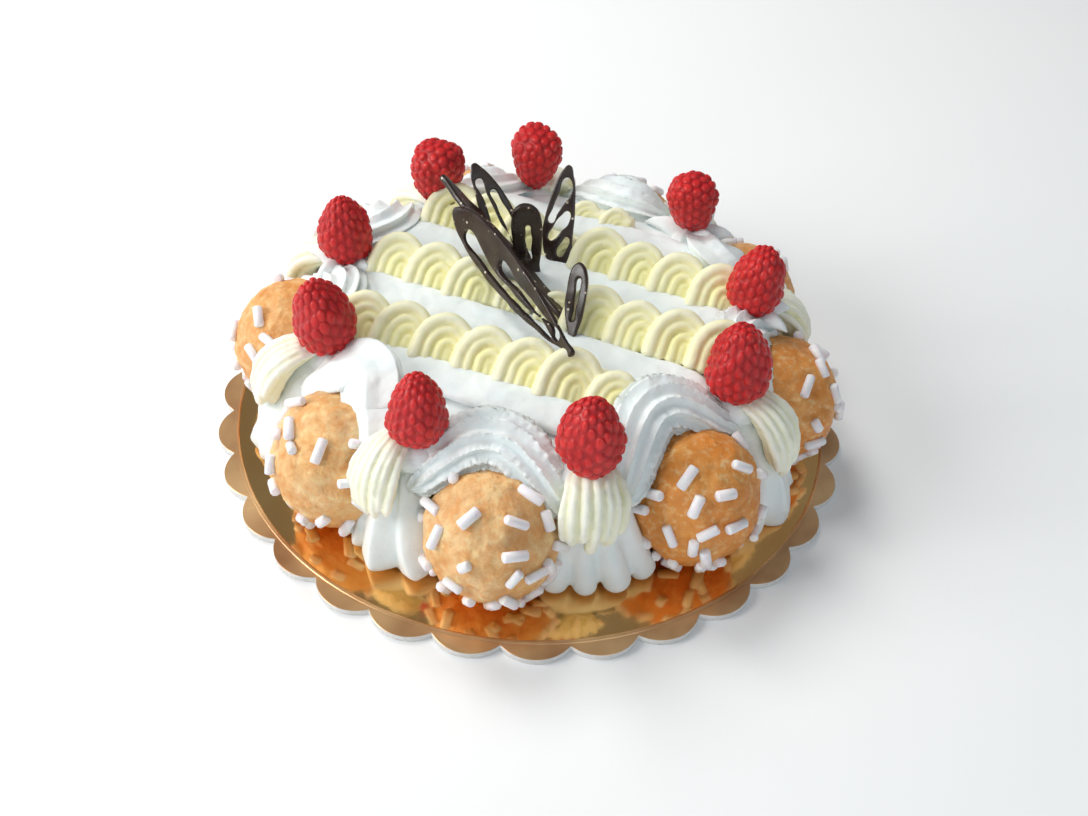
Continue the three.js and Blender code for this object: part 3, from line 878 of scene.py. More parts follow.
def drop_nib(bay, puff, chance, heights):
    """Where one nib lies that falls on a puff from a chance direction, between two heights from -1 to 1."""
    swing = math.radians(chance.uniform(-NIB_SWING, NIB_SWING))
    rise = math.asin(chance.uniform(*heights))
    heading = Matrix.Rotation(swing, 3, "Z") @ outward(bay.middle) * math.cos(rise) + UP * math.sin(rise)
    _, place, normal, _ = puff.ray_cast(bay.puff_centre + heading * 2 * PUFF_RADIUS, -heading)
    length = chance.uniform(0.4, 0.6) if chance.random() < CRUMB_SHARE else chance.uniform(0.8, 1.12)
    thickness = chance.uniform(0.88, 1.1)
    lay = Matrix.Rotation(chance.uniform(0, math.pi), 4, "Z") @ Matrix.Rotation(math.pi / 2, 4, "X")
    flat = normal.to_track_quat("Z", "Y").to_matrix().to_4x4()
    sunk = Matrix.Translation(place + normal * NIB_RADIUS * NIB_SUNK)
    scale = Matrix.Diagonal((thickness, thickness, length, 1))
    return place, sunk @ flat @ lay @ scale


def scatter_nibs(nib):
    """Nibs spread over every puff, with no two close together, and a loose heap round its foot."""
    copies = []
    for bay, puff, seed in zip(BAYS, puffs, NIB_SEEDS):
        chance = random.Random(seed)
        taken = []
        while len(taken) < NIBS_SPREAD:
            place, matrix = drop_nib(bay, puff, chance, SPREAD_HEIGHTS)
            if all((place - other).length > NIB_SPACING for other in taken):
                taken.append(place)
                copies.append(place_mesh(copy_of(nib, "nib"), matrix))
        for _ in range(NIBS_AT_FOOT):
            matrix = drop_nib(bay, puff, chance, FOOT_HEIGHTS)[1]
            copies.append(place_mesh(copy_of(nib, "nib"), matrix))
    return join(copies)


nib = make_nib()
sugar = serve(scatter_nibs(nib), "pearl_sugar", PEARL_SUGAR, "choux")
throw_away(nib)
print("sugar nibs with", faces_of(sugar), "faces")

# %% [markdown]
# ## Columns of white cream
# Between the puffs the baker pulled a column of cream up from the board, and the nozzle's lobes end at its
# foot like fingers. Each finger is a rope of its own that leans out at the bottom. The fingers, a core and
# a bed for the berry are joined, and a voxel Remesh fuses them so that soft creases are left between them.

# %% Columns
# Radius and height of a Bezier curve's four points, in mm
COLUMN_LINE = [(83, 2.4), (82.5, 20), (81, 38), (70, 41.8)]
LOOK_AHEAD = 0.02
COLUMN_FINGERS = [5, 5, 5, 5, 5, 3, 3, 4, 3]
FINGER_TOP = 0.86
FINGER_KNEE = 0.3
FOLDED_COLUMNS = [5, 6, 8]
PETAL_DRIFTS = {5: 0, 8: -6}
CROWNED_COLUMNS = [0, 1, 4]
CROWN_TIPS = 6
CROWN_THICKNESS = 6.4 * MM
CROWN_ROOT = 3 * MM
CROWN_ARCH = 2.4 * MM
CREAM_PRESSED_IN = 1.6 * MM
BED_HEIGHT = 42 * MM
BED_SIZE = (8.8 * MM, 8.8 * MM, 4.8 * MM, 1)
COLUMN_VOXEL = 0.6 * MM


def bezier(points, t):
    """A point on a cubic Bezier curve, with as many numbers as its points have."""
    weights = ((1 - t) ** 3, 3 * t * (1 - t) ** 2, 3 * t**2 * (1 - t), t**3)
    return [sum(weight * point[k] for weight, point in zip(weights, points)) for k in range(len(points[0]))]


def bend(top, knee, foot):
    """A line that starts at its top, is drawn towards a knee and ends at its foot."""

    def line(t):
        return top * (1 - t) ** 2 + knee * 2 * t * (1 - t) + foot * t**2

    return line


def heading_of(line, t):
    return line(min(1, t + LOOK_AHEAD)) - line(max(0, t - LOOK_AHEAD))


class Column:
    """One column's place: its middle at a share t of the way up, and which way its front faces there."""

    def __init__(self, index):
        self.bearing = COLUMN_BEARINGS[index]
        self.reach = COLUMN_REACHES[index] * MM
        self.foot = COLUMN_FEET[index] * MM
        self.side = sideways(self.bearing)

    def middle(self, t):
        radius, height = (value * MM for value in bezier(COLUMN_LINE, t))
        place = polar(radius + self.reach * (1 - t**6), self.bearing, height)
        return place + self.side * self.foot * (1 - t) ** 2

    def front(self, t):
        return self.side.cross(heading_of(self.middle, t)).normalized()


COLUMNS = [Column(index) for index in range(COUNT)]
FINGER = star_rope("finger", 2, 1, 1, 18)
FOLD = star_rope("fold", 4, 0.84, 0.76, 18, levels=2, sharp=0.7)
CORE = stretch_section(star_rope("core", 3, 1, 1, 18), 1, 0.42)
PETAL = stretch_section(star_rope("petal", 7, 0.97, 0.93, 18, levels=2, sharp=0.8), 1, 0.26)
CREAM_FOLDS = relief("cream_folds", 6 * MM)


def column_half_width(index):
    """Half of the room between the two puffs beside a column, and a little more, as cream presses in."""
    apart = (BAYS[index].puff_centre - BAYS[index - 1].puff_centre).length
    return apart / 2 - PUFF_RADIUS + CREAM_PRESSED_IN


def finger_line(column, half, sway, drop):
    """From under the berry down to the board; sway runs from -1 to 1 across the column."""
    lean = math.sqrt(1 - 0.85 * sway**2)
    top = column.middle(FINGER_TOP) + column.side * half * 0.6 * sway
    top += column.front(FINGER_TOP) * 1.5 * MM * lean
    knee = column.middle(FINGER_KNEE) + column.side * half * 0.8 * sway
    knee += column.front(FINGER_KNEE) * 4.5 * MM * lean
    foot = column.middle(0) + column.side * (half + 2.2 * MM) * sway
    foot += column.front(0) * (8 * lean - 2) * MM
    return bend(top, knee, foot + UP * drop)


def make_petal(column, half, drift):
    """A broad, thin lobe that falls from the rosette and spreads on the board."""
    top = column.middle(0.8) + column.front(0.8) * 3 * MM
    knee = column.middle(0.3) + column.front(0.3) * 7.5 * MM
    foot = column.middle(0) + column.front(0) * 6.5 * MM + column.side * drift - UP * 0.6 * MM

    def size(t):
        return lerp(0.7, 1.45, t) * half * rounded(t, 0.1, 0.4)

    return pipe(PETAL, "petal", bend(top, knee, foot), size, column.front, column.side)


def make_crown(spot, chance):
    """Pointed tips of cream all round a berry's foot, as a star nozzle leaves them when it is lifted."""
    tips = []

    def size(t):
        return CROWN_THICKNESS * max(LEAST_THICKNESS, 1 - t) ** 0.8

    for k in range(CROWN_TIPS):
        heading = outward(360 * (k + chance.uniform(-0.25, 0.25)) / CROWN_TIPS)
        root = spot + heading * CROWN_ROOT
        tip = spot + heading * chance.uniform(14, 17) * MM + UP * chance.uniform(3, 6) * MM

        def line(t, root=root, tip=tip):
            return root.lerp(tip, t) + UP * CROWN_ARCH * math.sin(math.pi * t)

        tips.append(pipe(FOLD, "tip", line, size, lambda t: UP))
    return tips


def make_column(index, chance):
    column = COLUMNS[index]
    half = column_half_width(index)
    count = COLUMN_FINGERS[index]
    folded = index in FOLDED_COLUMNS
    rope = FOLD if folded else FINGER
    room = (2.1 if folded else 1.5) * half / count

    def core_size(t):
        return half * lerp(1, 0.92, t) * rounded(t, 0.06, 0.12)

    def core_line(t):
        return column.middle(lerp(0.03, 0.97, t))

    parts = [pipe(CORE, "core", core_line, core_size, column.front, column.side)]
    for k in range(count):
        sway = lerp(-1, 1, k / (count - 1)) + chance.uniform(-0.08, 0.08)
        line = finger_line(column, half, max(-1, min(1, sway)), chance.uniform(-1.6, 0.9) * MM)
        thick = room * chance.uniform(0.8, 1.2)

        def size(t, thick=thick):
            return lerp(0.6, 1, t) * thick * rounded(t, 0.1, 0.12)

        parts.append(pipe(rope, "finger", line, size, column.front, column.side))
    if index in PETAL_DRIFTS:
        parts.append(make_petal(column, half, PETAL_DRIFTS[index] * MM))
    bed = start(bpy.ops.mesh.primitive_uv_sphere_add, segments=24, ring_count=12, radius=1)
    spot = polar(BERRY_RINGS[index] * MM, column.bearing + BERRY_SHIFTS[index], BED_HEIGHT)
    place_mesh(bed, Matrix.Translation(spot) @ Matrix.Diagonal(BED_SIZE))
    if index in CROWNED_COLUMNS:
        parts += make_crown(spot + UP * 1.5 * MM, chance)
    fused = join(parts + [bed])
    fuse(fused, COLUMN_VOXEL)
    ruffle(fused, CREAM_FOLDS, 0.6 * MM)
    set_down(fused)
    return fused


column_chance = random.Random(5)
new_columns = (make_column(index, column_chance) for index in range(COUNT))
serve_all(new_columns, "piped", "cream_column", WHITE_CREAM, "white_cream")
throw_away(FINGER, FOLD, CORE, PETAL)

# %% [markdown]
# ## Yellow rosettes
# In front of each column, under its berry, hangs one full drop of yellow cream. Its ribs start close
# together under the berry, swell out and end one by one, the outer ones first. So each rib is a rope of its
# own with an oval section that stands on its edge, and a plain core fills the rosette behind the ribs. Once
# they are fused, `groove` is measured again as the distance from the nearest crest.

# %% Rosettes
# Radius and height of a Bezier curve's four points, in mm, and the half-widths at them
ROSETTE_LINE = [(71, 44.5), (82, 46.5), (87, 38), (86.5, 23.5)]
ROSETTE_WIDTHS = [3.0, 8.4, 11.6, 8.2]
ROSETTE_RIBS = 7
ROSETTE_ROOM = 13.5 * MM
ROSETTE_SLANTS = [-2, 2, -3, 3, -2, 2, -1, -5, -2]
ROSETTE_BULGE = 5.6 * MM
ROSETTE_VOXEL = 0.42 * MM
CREST_HEIGHT = 2.2 * MM
CREST_POINTS = 31
RIB = stretch_section(star_rope("rib", 2, 1, 1, 20), 1.85 * MM, 2.5 * MM)
HEART = stretch_section(star_rope("heart", 3, 1, 1, 20), 1, 0.5)
SOFT_FOLDS = relief("soft_folds", 4 * MM)


class Rosette:
    """One rosette's middle line, its half-width and the place of a rib that is sway of the way across."""

    def __init__(self, column, slant, fullness):
        self.column = column
        self.slant = slant
        self.fullness = fullness

    def middle(self, t):
        radius, height = (value * MM for value in bezier(ROSETTE_LINE, t))
        radius += self.column.reach * math.sqrt(t)
        aside = self.column.side * (self.column.foot * 0.35 * t + self.slant * (t - 0.25))
        return polar(radius, self.column.bearing, height) + aside

    def out(self, t):
        return heading_of(self.middle, t).cross(self.column.side).normalized()

    def half_width(self, t):
        return bezier([(width,) for width in ROSETTE_WIDTHS], t)[0] * self.fullness * MM

    def rib(self, t, sway):
        bulge = ROSETTE_BULGE * math.sin(math.pi * lerp(0.14, 0.86, t)) * math.sqrt(1 - 0.8 * sway**2)
        return self.middle(t) + self.column.side * sway * self.half_width(t) + self.out(t) * bulge

    def rib_face(self, t, sway):
        return (self.out(t) + self.column.side * sway * 1.2).normalized()


def mark_grooves(piece, crests, depth):
    """Sets `groove` from each vertex's distance to the nearest crest, 0 on it and 1 at depth or more."""
    tree = tree_of(crests)
    mark(piece, "groove", [min(1, tree.find(vertex.co)[2] / depth) for vertex in piece.data.vertices])


def make_rosette(index, chance):
    fullness = max(0.8, column_half_width(index) / ROSETTE_ROOM)
    rosette = Rosette(COLUMNS[index], ROSETTE_SLANTS[index] * MM, fullness)
    side = COLUMNS[index].side

    def heart_size(t):
        return rosette.half_width(t) * 0.95 * rounded(t, 0.08, 0.3)

    parts = [pipe(HEART, "heart", lambda t: rosette.middle(0.95 * t), heart_size, rosette.out, side)]
    crests = []
    for k in range(ROSETTE_RIBS):
        sway = lerp(-1, 1, k / (ROSETTE_RIBS - 1)) + chance.uniform(-0.06, 0.06)
        reach = lerp(1.0, 0.84, abs(sway) ** 1.6) + chance.uniform(-0.12, 0.04)
        thick = chance.uniform(0.85, 1.15) * lerp(fullness, 1, 0.3)

        def line(t, reach=reach, sway=sway):
            return rosette.rib(reach * t, sway * lerp(1, 0.82, t**4))

        def size(t, thick=thick):
            return thick * lerp(0.62, 1.05, math.sin(math.pi * 0.6 * t)) * rounded(t, 0.06, 0.12)

        def face(t, reach=reach, sway=sway):
            return rosette.rib_face(reach * t, sway)

        parts.append(pipe(RIB, "rib", line, size, face, side))
        for step in range(CREST_POINTS):
            t = step / (CREST_POINTS - 1)
            crests.append(line(t) + face(t) * CREST_HEIGHT * size(t))
    piece = join(parts)
    fuse(piece, ROSETTE_VOXEL)
    # Painted shade: the cream reads `groove`, so it turns darker and more yellow away from the crests.
    mark_grooves(piece, crests, CREST_HEIGHT)
    ruffle(piece, SOFT_FOLDS, 0.9 * MM)
    return piece


rosette_chance = random.Random(8)
new_rosettes = (make_rosette(index, rosette_chance) for index in range(COUNT))
serve_all(new_rosettes, "piped", "cream_rosette", IVORY_CREAM, "yellow_cream")
throw_away(RIB, HEART)

# %% [markdown]
# ## Swags
# A swag is one broad pass of the nozzle from column to column, over the puff. Its rope is wide and flat
# below, with a few ridges on top. Where the cream was stiff the ridges tore into ragged edges, so a fine
# relief works on the `ridge` vertex group alone, more in some bays than in others.

# %% Swags
SWAG_CREST = 47.6 * MM
SWAG_END_HEIGHT = 34 * MM
SWAG_END_RADIUS = 81.5 * MM
SWAG_END_OFFSET = 8.5 * MM
SWAG_END_TILT = 62
SWAG_CLEARANCE = 0.8 * MM
SWAG_ROPE = star_rope("swag_rope", 12, 0.76, 0.64, 36, levels=2, sharp=1.0)
SWAG_ROPE = stretch_section(SWAG_ROPE, 10.8 * MM, 6 * MM, under=0.2)
BROAD_ROPE = star_rope("broad_rope", 6, 0.84, 0.74, 36, levels=2, sharp=1.0)
BROAD_ROPE = stretch_section(BROAD_ROPE, 11.6 * MM, 6 * MM, under=0.2)
BROAD_BAYS = [0, 5]
SWAG_WIDTHS = [1, 1.1, 1.1, 1.15, 1, 1, 0.94, 0.96, 1]
SWAG_RAGS = [0.7, 0.7, 0.7, 0.7, 0.6, 0.3, 1.8, 1.2, 0.8]
SWAG_TILTS = [15, -4, -4, -2, 24, 30, 30, 30, 26]
SWAG_LIFTS = [1, -1, -0.5, 0, 1, 3.2, 2, 4.5, 1.5]
RAGGED = relief("ragged_edges", 1.3 * MM)


def off_puff(point, bay, least):
    """The point itself, or the nearest way out of a puff whose skin lies `least` from its centre."""
    away = point - bay.puff_centre
    away.z /= bay.puff_tall
    if away.length > least:
        return point
    away = away.normalized() * least
    away.z *= bay.puff_tall
    return bay.puff_centre + away


def make_swag(index):
    bay = BAYS[index]
    end_turn = math.degrees(math.asin(SWAG_END_OFFSET / SWAG_END_RADIUS))

    def bearing(t):
        return lerp(bay.start + end_turn, bay.end - end_turn, t)

    def line(t):
        s = abs(2 * t - 1)
        radius = lerp(bay.swag_radius, SWAG_END_RADIUS, s**2)
        crest = SWAG_CREST + SWAG_LIFTS[index] * MM
        point = polar(radius, bearing(t), lerp(crest, SWAG_END_HEIGHT, s**2.4))
        return off_puff(point, bay, PUFF_RADIUS + SWAG_CLEARANCE)

    def size(t):
        s = abs(2 * t - 1)
        return lerp(SWAG_WIDTHS[index], 0.6, s**3) * rounded(t, 0.07, 0.07)

    def face(t):
        tilt = math.radians(lerp(SWAG_TILTS[index], SWAG_END_TILT, (2 * t - 1) ** 2))
        free = outward(bearing(t)) * math.sin(tilt) + UP * math.cos(tilt)
        resting = (line(t) - bay.puff_centre).normalized()
        return free.lerp(resting, 0.35 * abs(2 * t - 1))

    piece = pipe(BROAD_ROPE if index in BROAD_BAYS else SWAG_ROPE, "swag", line, size, face)
    ruffle(piece, CREAM_FOLDS, 1.1 * MM)
    ruffle(piece, RAGGED, SWAG_RAGS[index] * MM, "ridge")
    return piece


new_swags = (make_swag(index) for index in range(COUNT))
serve_all(new_swags, "piped", "cream_swag", WHITE_CREAM, "white_cream")
throw_away(SWAG_ROPE, BROAD_ROPE)

# %% [markdown]
# ## Rows of curls on top
# Four rows of yellow curls run across the top. A curl is four arches of cream inside each other on a plane
# that leans back. The inner ones lie further right and stand out more. Each curl lies over the one to its
# left. A low ridge of the same cream fills the row behind the curls. Remesh and Smooth then melt them into
# one soft skin, which takes `groove` from the arches, and with it the painted shade in grooves and curl
# middles.

# %% Rows of curls
ROW_BEARING = -19
ROW_ALONG = outward(ROW_BEARING)
ROW_ACROSS = sideways(ROW_BEARING)
CURL_PITCH = 14.4 * MM
CURL_LEAN = 37
CURL_TALL = 1.3
CURL_SET_BACK = 8.4 * MM
CURL_HEIGHT = 3.6 * MM
LEG_ENDS = (0.2, 0.85)
LEFT_LEG = 6.5 * MM
RIGHT_LEG = 5 * MM
# Radius, thickness, shift to the right and lift of each arch, in mm
CURL_RINGS = [(8.4, 2.4, -0.7, 0), (5.7, 1.85, 0.2, 0.4), (3.2, 1.7, 1.2, 1.0), (0.9, 1.4, 1.6, 1.1)]
CURL_REACH = 12 * MM
RIDGE_SET_BACK = 2 * MM
RIDGE_HEIGHT = 1.5 * MM
ROW_VOXEL = 0.45 * MM
CURL_ROPE = star_rope("curl_rope", 3, 1, 1, 20)


class Row:
    """A row of curls: its place on the top in mm, and the scales of curls that were pressed down."""

    def __init__(self, offset, start, count, turn, ridge, scale=1.0, pressed=None):
        self.offset = offset * MM
        self.start = start * MM
        self.count = count
        self.drift = math.tan(math.radians(turn))
        self.ridge = ridge * MM
        self.scale = scale
        self.pressed = pressed or {}
        self.pitch = CURL_PITCH * lerp(scale, 1, 0.5)

    def spot(self, along, across, height):
        return on_top(along, self.offset + across + self.drift * along, height)


ROWS = [
    Row(-26.2, -54.2, 7, turn=-0.5, ridge=6.4, pressed={6: 0.82}),
    Row(6.5, -57.5, 9, turn=-1, ridge=4.5, pressed={3: 0.62, 4: 0.62}),
    Row(38.6, -52, 8, turn=-4, ridge=4.5, pressed={3: 0.62}),
    Row(58, -7, 2, turn=0, ridge=4, scale=0.62),
]


def on_top(along, across, height):
    return ROW_ALONG * along + ROW_ACROSS * across + UP * (CAKE_TOP + height)


def deepen_curl_shade(curl, spot, reach):
    """Lets `groove` grow towards a curl's middle, so that the painted shade of yellow is deepest there."""
    shades = curl.data.attributes["groove"].data
    for vertex in curl.data.vertices:
        inside = max(0, 1 - (vertex.co - spot).length / reach)
        shades[vertex.index].value = 0.4 * shades[vertex.index].value + 1.1 * inside


def make_ring(centre, across, rise, normal, radius, thickness, scale):
    """One arch of a curl: up its left leg, over the top and down on the right."""
    left_end, right_end = LEG_ENDS

    def line(t):
        if t < left_end:
            return centre - across * radius - rise * (left_end - t) / left_end * LEFT_LEG * scale
        if t < right_end:
            angle = math.pi * (right_end - t) / (right_end - left_end)
            return centre + across * radius * math.cos(angle) + rise * CURL_TALL * radius * math.sin(angle)
        return centre + across * radius - rise * (t - right_end) / (1 - right_end) * RIGHT_LEG * scale

    def size(t):
        return thickness * lerp(1.05, 0.85, t) * rounded(t, 0.05, 0.1)

    return pipe(CURL_ROPE, "ring", line, size, lambda t: normal, normal)


def make_curl(spot, scale, chance):
    """One curl: its arches, on a plane that leans back and is turned a little to the right."""
    lean = math.radians(CURL_LEAN + chance.uniform(-4, 4))
    rise = ROW_ACROSS * math.cos(lean) + UP * math.sin(lean)
    normal = UP * math.cos(lean) - ROW_ACROSS * math.sin(lean)
    roll = Quaternion(rise, math.radians(chance.uniform(10, 18)))
    across = roll @ ROW_ALONG
    normal = roll @ normal
    rings = []
    for radius, thickness, shift, lift in CURL_RINGS:
        centre = spot + (across * shift + normal * lift) * MM * scale
        reach = radius * MM * scale * chance.uniform(0.96, 1.04)
        rings.append(make_ring(centre, across, rise, normal, reach, thickness * MM * scale, scale))
    curl = join(rings)
    # Painted shade: darker, yellower cream towards each curl's middle.
    deepen_curl_shade(curl, spot, CURL_REACH * scale)
    return curl


def melt(piece, voxel):
    """Fuses joined ropes into one soft skin, which takes `groove` from the nearest vertex they had."""
    tree = tree_of([vertex.co for vertex in piece.data.vertices])
    shades = [shade.value for shade in piece.data.attributes["groove"].data]
    fuse(piece, voxel)
    mark(piece, "groove", [shades[tree.find(vertex.co)[1]] for vertex in piece.data.vertices])


def make_row(row, chance):
    """A row of curls; the pressed ones were squashed by what was set on them."""
    parts = []
    for k in range(row.count):
        size = row.scale * row.pressed.get(k, 1) * chance.uniform(0.95, 1.04)
        along = row.start + (k + 0.5) * row.pitch
        across = (chance.uniform(-0.5, 0.5) * MM - CURL_SET_BACK) * row.scale
        parts.append(make_curl(row.spot(along, across, CURL_HEIGHT * size), size, chance))
    first = row.spot(row.start, -RIDGE_SET_BACK * row.scale, RIDGE_HEIGHT)
    last = row.spot(row.start + row.count * row.pitch, -RIDGE_SET_BACK * row.scale, RIDGE_HEIGHT)

    def thick(t):
        return row.ridge * rounded(t, 0.08, 0.08)

    parts.append(pipe(CURL_ROPE, "ridge", lambda t: first.lerp(last, t), thick, lambda t: UP))
    piece = join(parts)
    melt(piece, ROW_VOXEL)
    ruffle(piece, SOFT_FOLDS, 0.5 * MM)
    return piece


row_chance = random.Random(21)
new_rows = (make_row(row, row_chance) for row in ROWS)
serve_all(new_rows, "piped", "cream_row", YELLOW_CREAM, "yellow_cream")
throw_away(CURL_ROPE)

# %% [markdown]
# ## White bands between the rows
# Beside each row lies a flat band of white cream, spread from rim to rim. It is a rope with four sides that
# is wide and low, and it runs out at both ends under the swags. Remeshed, it takes the same relief as the
# other cream, so that its edges are not ruled lines. The outer two belong to the cake's own node.

# %% Bands
# Offset across the rows and half-width, in mm, and the node that the band replaces
BANDS = [(-15.6, 8.8, "cream_band_1"), (17.4, 9, "cream_band_2"), (-45.4, 7.4, "cake"), (49, 7, "cake")]
BAND_HEIGHT = 4.4 * MM
BAND_RIM = 69 * MM
BAND_TURN = -2.5
BAND_VOXEL = 0.8 * MM
BAND_ROPE = star_rope("band_rope", 2, 1.34, 1, 24)


def make_band(offset, half_width):
    half_length = math.sqrt(BAND_RIM**2 - ((abs(offset) + 0.5 * half_width) * MM) ** 2)
    along = outward(ROW_BEARING + BAND_TURN) * half_length
    middle = on_top(0, offset * MM, BAND_HEIGHT * 0.45)
    rope = stretch_section(copy_of(BAND_ROPE, "rope"), half_width * MM, BAND_HEIGHT / 2)

    def line(t):
        return middle + along * (2 * t - 1)

    band = pipe(rope, "band", line, lambda t: rounded(t, 0.09, 0.09), lambda t: UP)
    throw_away(rope)
    fuse(band, BAND_VOXEL)
    ruffle(band, CREAM_FOLDS, 1.0 * MM)
    ruffle(band, RAGGED, 0.25 * MM)
    return band


bands = []
for index, (offset, half_width, node) in enumerate(BANDS):
    band = make_band(offset, half_width)
    bands.append(serve(band, f"spread_band_{index + 1}", WHITE_CREAM, "white_cream", node))
throw_away(BAND_ROPE)
print(len(bands), "bands with", faces_of(*bands), "faces")

# %% [markdown]
# ## Berries
# A berry is a cluster of small round sacs. An icosphere is poked and beautified, so that more vertices lie
# on it just as evenly, and a full vertex bevel turns each one into a six-sided face. Insets raise those
# faces, and subdivision rounds them. A Taper narrows the tip, and a wide relief makes every berry a little
# different. The attribute `crease` keeps how deep each point lies.

# %% Berries
BERRY_RADIUS = 9.5 * MM
BERRY_HEIGHT = 26.5 * MM
BERRY_TAPER = -0.55
UPSIDE_DOWN = [1, 2, 3]
# Thickness and depth of each inset that raises a sac, on a berry of radius 1
SAC_INSETS = [(0.006, 0.022), (0.03, 0.03), (0.05, 0.016)]
BERRY_LUMPS = relief("berry_lumps", 7 * MM, detail=1)


def make_berry():
    berry = start(bpy.ops.mesh.primitive_ico_sphere_add, subdivisions=2, radius=1)
    pick_all(berry)
    bpy.ops.mesh.poke()
    bpy.ops.transform.tosphere(value=1)
    bpy.ops.mesh.beautify_fill(angle_limit=math.pi)
    bpy.ops.mesh.bevel(offset_type="PERCENT", offset_pct=50, segments=1, affect="VERTICES")
    bpy.ops.mesh.select_all(action="SELECT")
    bpy.ops.mesh.remove_doubles(threshold=0.001)
    bpy.ops.mesh.select_mode(type="FACE")
    bpy.ops.mesh.select_face_by_sides(number=4, type="GREATER", extend=False)
    for thickness, depth in SAC_INSETS:
        bpy.ops.mesh.inset(thickness=thickness, depth=depth, use_individual=True)
    bpy.ops.object.mode_set(mode="OBJECT")
    smooth_out(berry, 1)
    heights = [vertex.co.length for vertex in berry.data.vertices]
    low, high = min(heights), max(heights)
    mark(berry, "crease", [(high - height) / (high - low) for height in heights])
    finish_with(berry, "SIMPLE_DEFORM", deform_method="TAPER", deform_axis="Z", factor=BERRY_TAPER)
    wide = max(vertex.co.to_2d().length for vertex in berry.data.vertices)
    low = min(vertex.co.z for vertex in berry.data.vertices)
    high = max(vertex.co.z for vertex in berry.data.vertices)
    squeeze = Matrix.Diagonal((BERRY_RADIUS / wide, BERRY_RADIUS / wide, BERRY_HEIGHT / (high - low), 1))
    return place_mesh(berry, squeeze @ Matrix.Translation((0, 0, -low)))


def upside_down(berry):
    """Some berries stand on their narrow end."""
    flip = Matrix.Rotation(math.pi, 4, "X")
    return place_mesh(berry, Matrix.Translation((0, 0, BERRY_HEIGHT)) @ flip)


def set_berry(index, shape, chance):
    """A copy of the berry, plumped, spun, leant and set on its column."""
    bearing = COLUMN_BEARINGS[index] + BERRY_SHIFTS[index]
    foot = polar(BERRY_RINGS[index] * MM, bearing, CAKE_TOP)
    lean = Matrix.Rotation(math.radians(BERRY_LEANS[index]), 4, sideways(bearing))
    spin = Matrix.Rotation(chance.uniform(0, 2 * math.pi), 4, "Z")
    plump = chance.uniform(0.96, 1.04)
    grow = Matrix.Diagonal((plump, 1 / plump, 1, 1)) * BERRY_SIZES[index]
    grow[3][3] = 1
    berry = copy_of(shape, "berry")
    if index in UPSIDE_DOWN:
        upside_down(berry)
    place_mesh(berry, Matrix.Translation(foot) @ lean @ spin @ grow)
    ruffle(berry, BERRY_LUMPS, 2.2 * MM)
    return berry


berry_shape = make_berry()
berry_chance = random.Random(3)
new_berries = (set_berry(index, berry_shape, berry_chance) for index in range(COUNT))
serve_all(new_berries, "red", "berry", BERRY_RED, "red_berry")
throw_away(berry_shape)

# %% [markdown]
# ## Chocolate leaves
# The leaves were piped flat on paper and stood up in the cream once they had set. Each is a flat curve: an
# outline with long openings, given a thickness and turned into a mesh. Remesh and Smooth round its cut edges
# as soft chocolate would run, and a wide relief keeps it from being as flat as card.

# %% Leaves
LEAF_THICKNESS = 1.7 * MM
LEAF_VOXEL = 0.32 * MM
LEAF_WAVES = relief("leaf_waves", 12 * MM, detail=1)


def narrowed(loop, share):
    """A loop drawn in towards its own middle, which leaves the bars beside it wider."""
    middle = [sum(point[k] for point in loop) / len(loop) for k in (0, 1)]
    return [(lerp(middle[0], across, share), lerp(middle[1], along, share)) for across, along in loop]


class Leaf:
    """A leaf's foot and tip in the cake, which way it faces, and its loops in its own flat plane."""

    def __init__(self, foot, tip, facing, outline, openings, openness=1.0):
        self.foot = Vector(foot) * MM
        self.tip = Vector(tip) * MM
        self.length = (self.tip - self.foot).length
        self.axis = (self.tip - self.foot).normalized()
        self.across = self.axis.cross(Vector(facing)).normalized()
        self.loops = [outline, *(narrowed(opening, openness) for opening in openings)]

    def placing(self):
        turn = Matrix((self.across, self.axis, self.across.cross(self.axis))).transposed()
        return Matrix.Translation(self.foot) @ turn.to_4x4()


def blade(*half_widths):
    """An even outline from half-widths in mm at shares of the length; the first is the foot."""
    right = [(width, share) for share, width in half_widths]
    left = [(-width, share) for width, share in reversed(right) if width > 0]
    return [*right, *left]


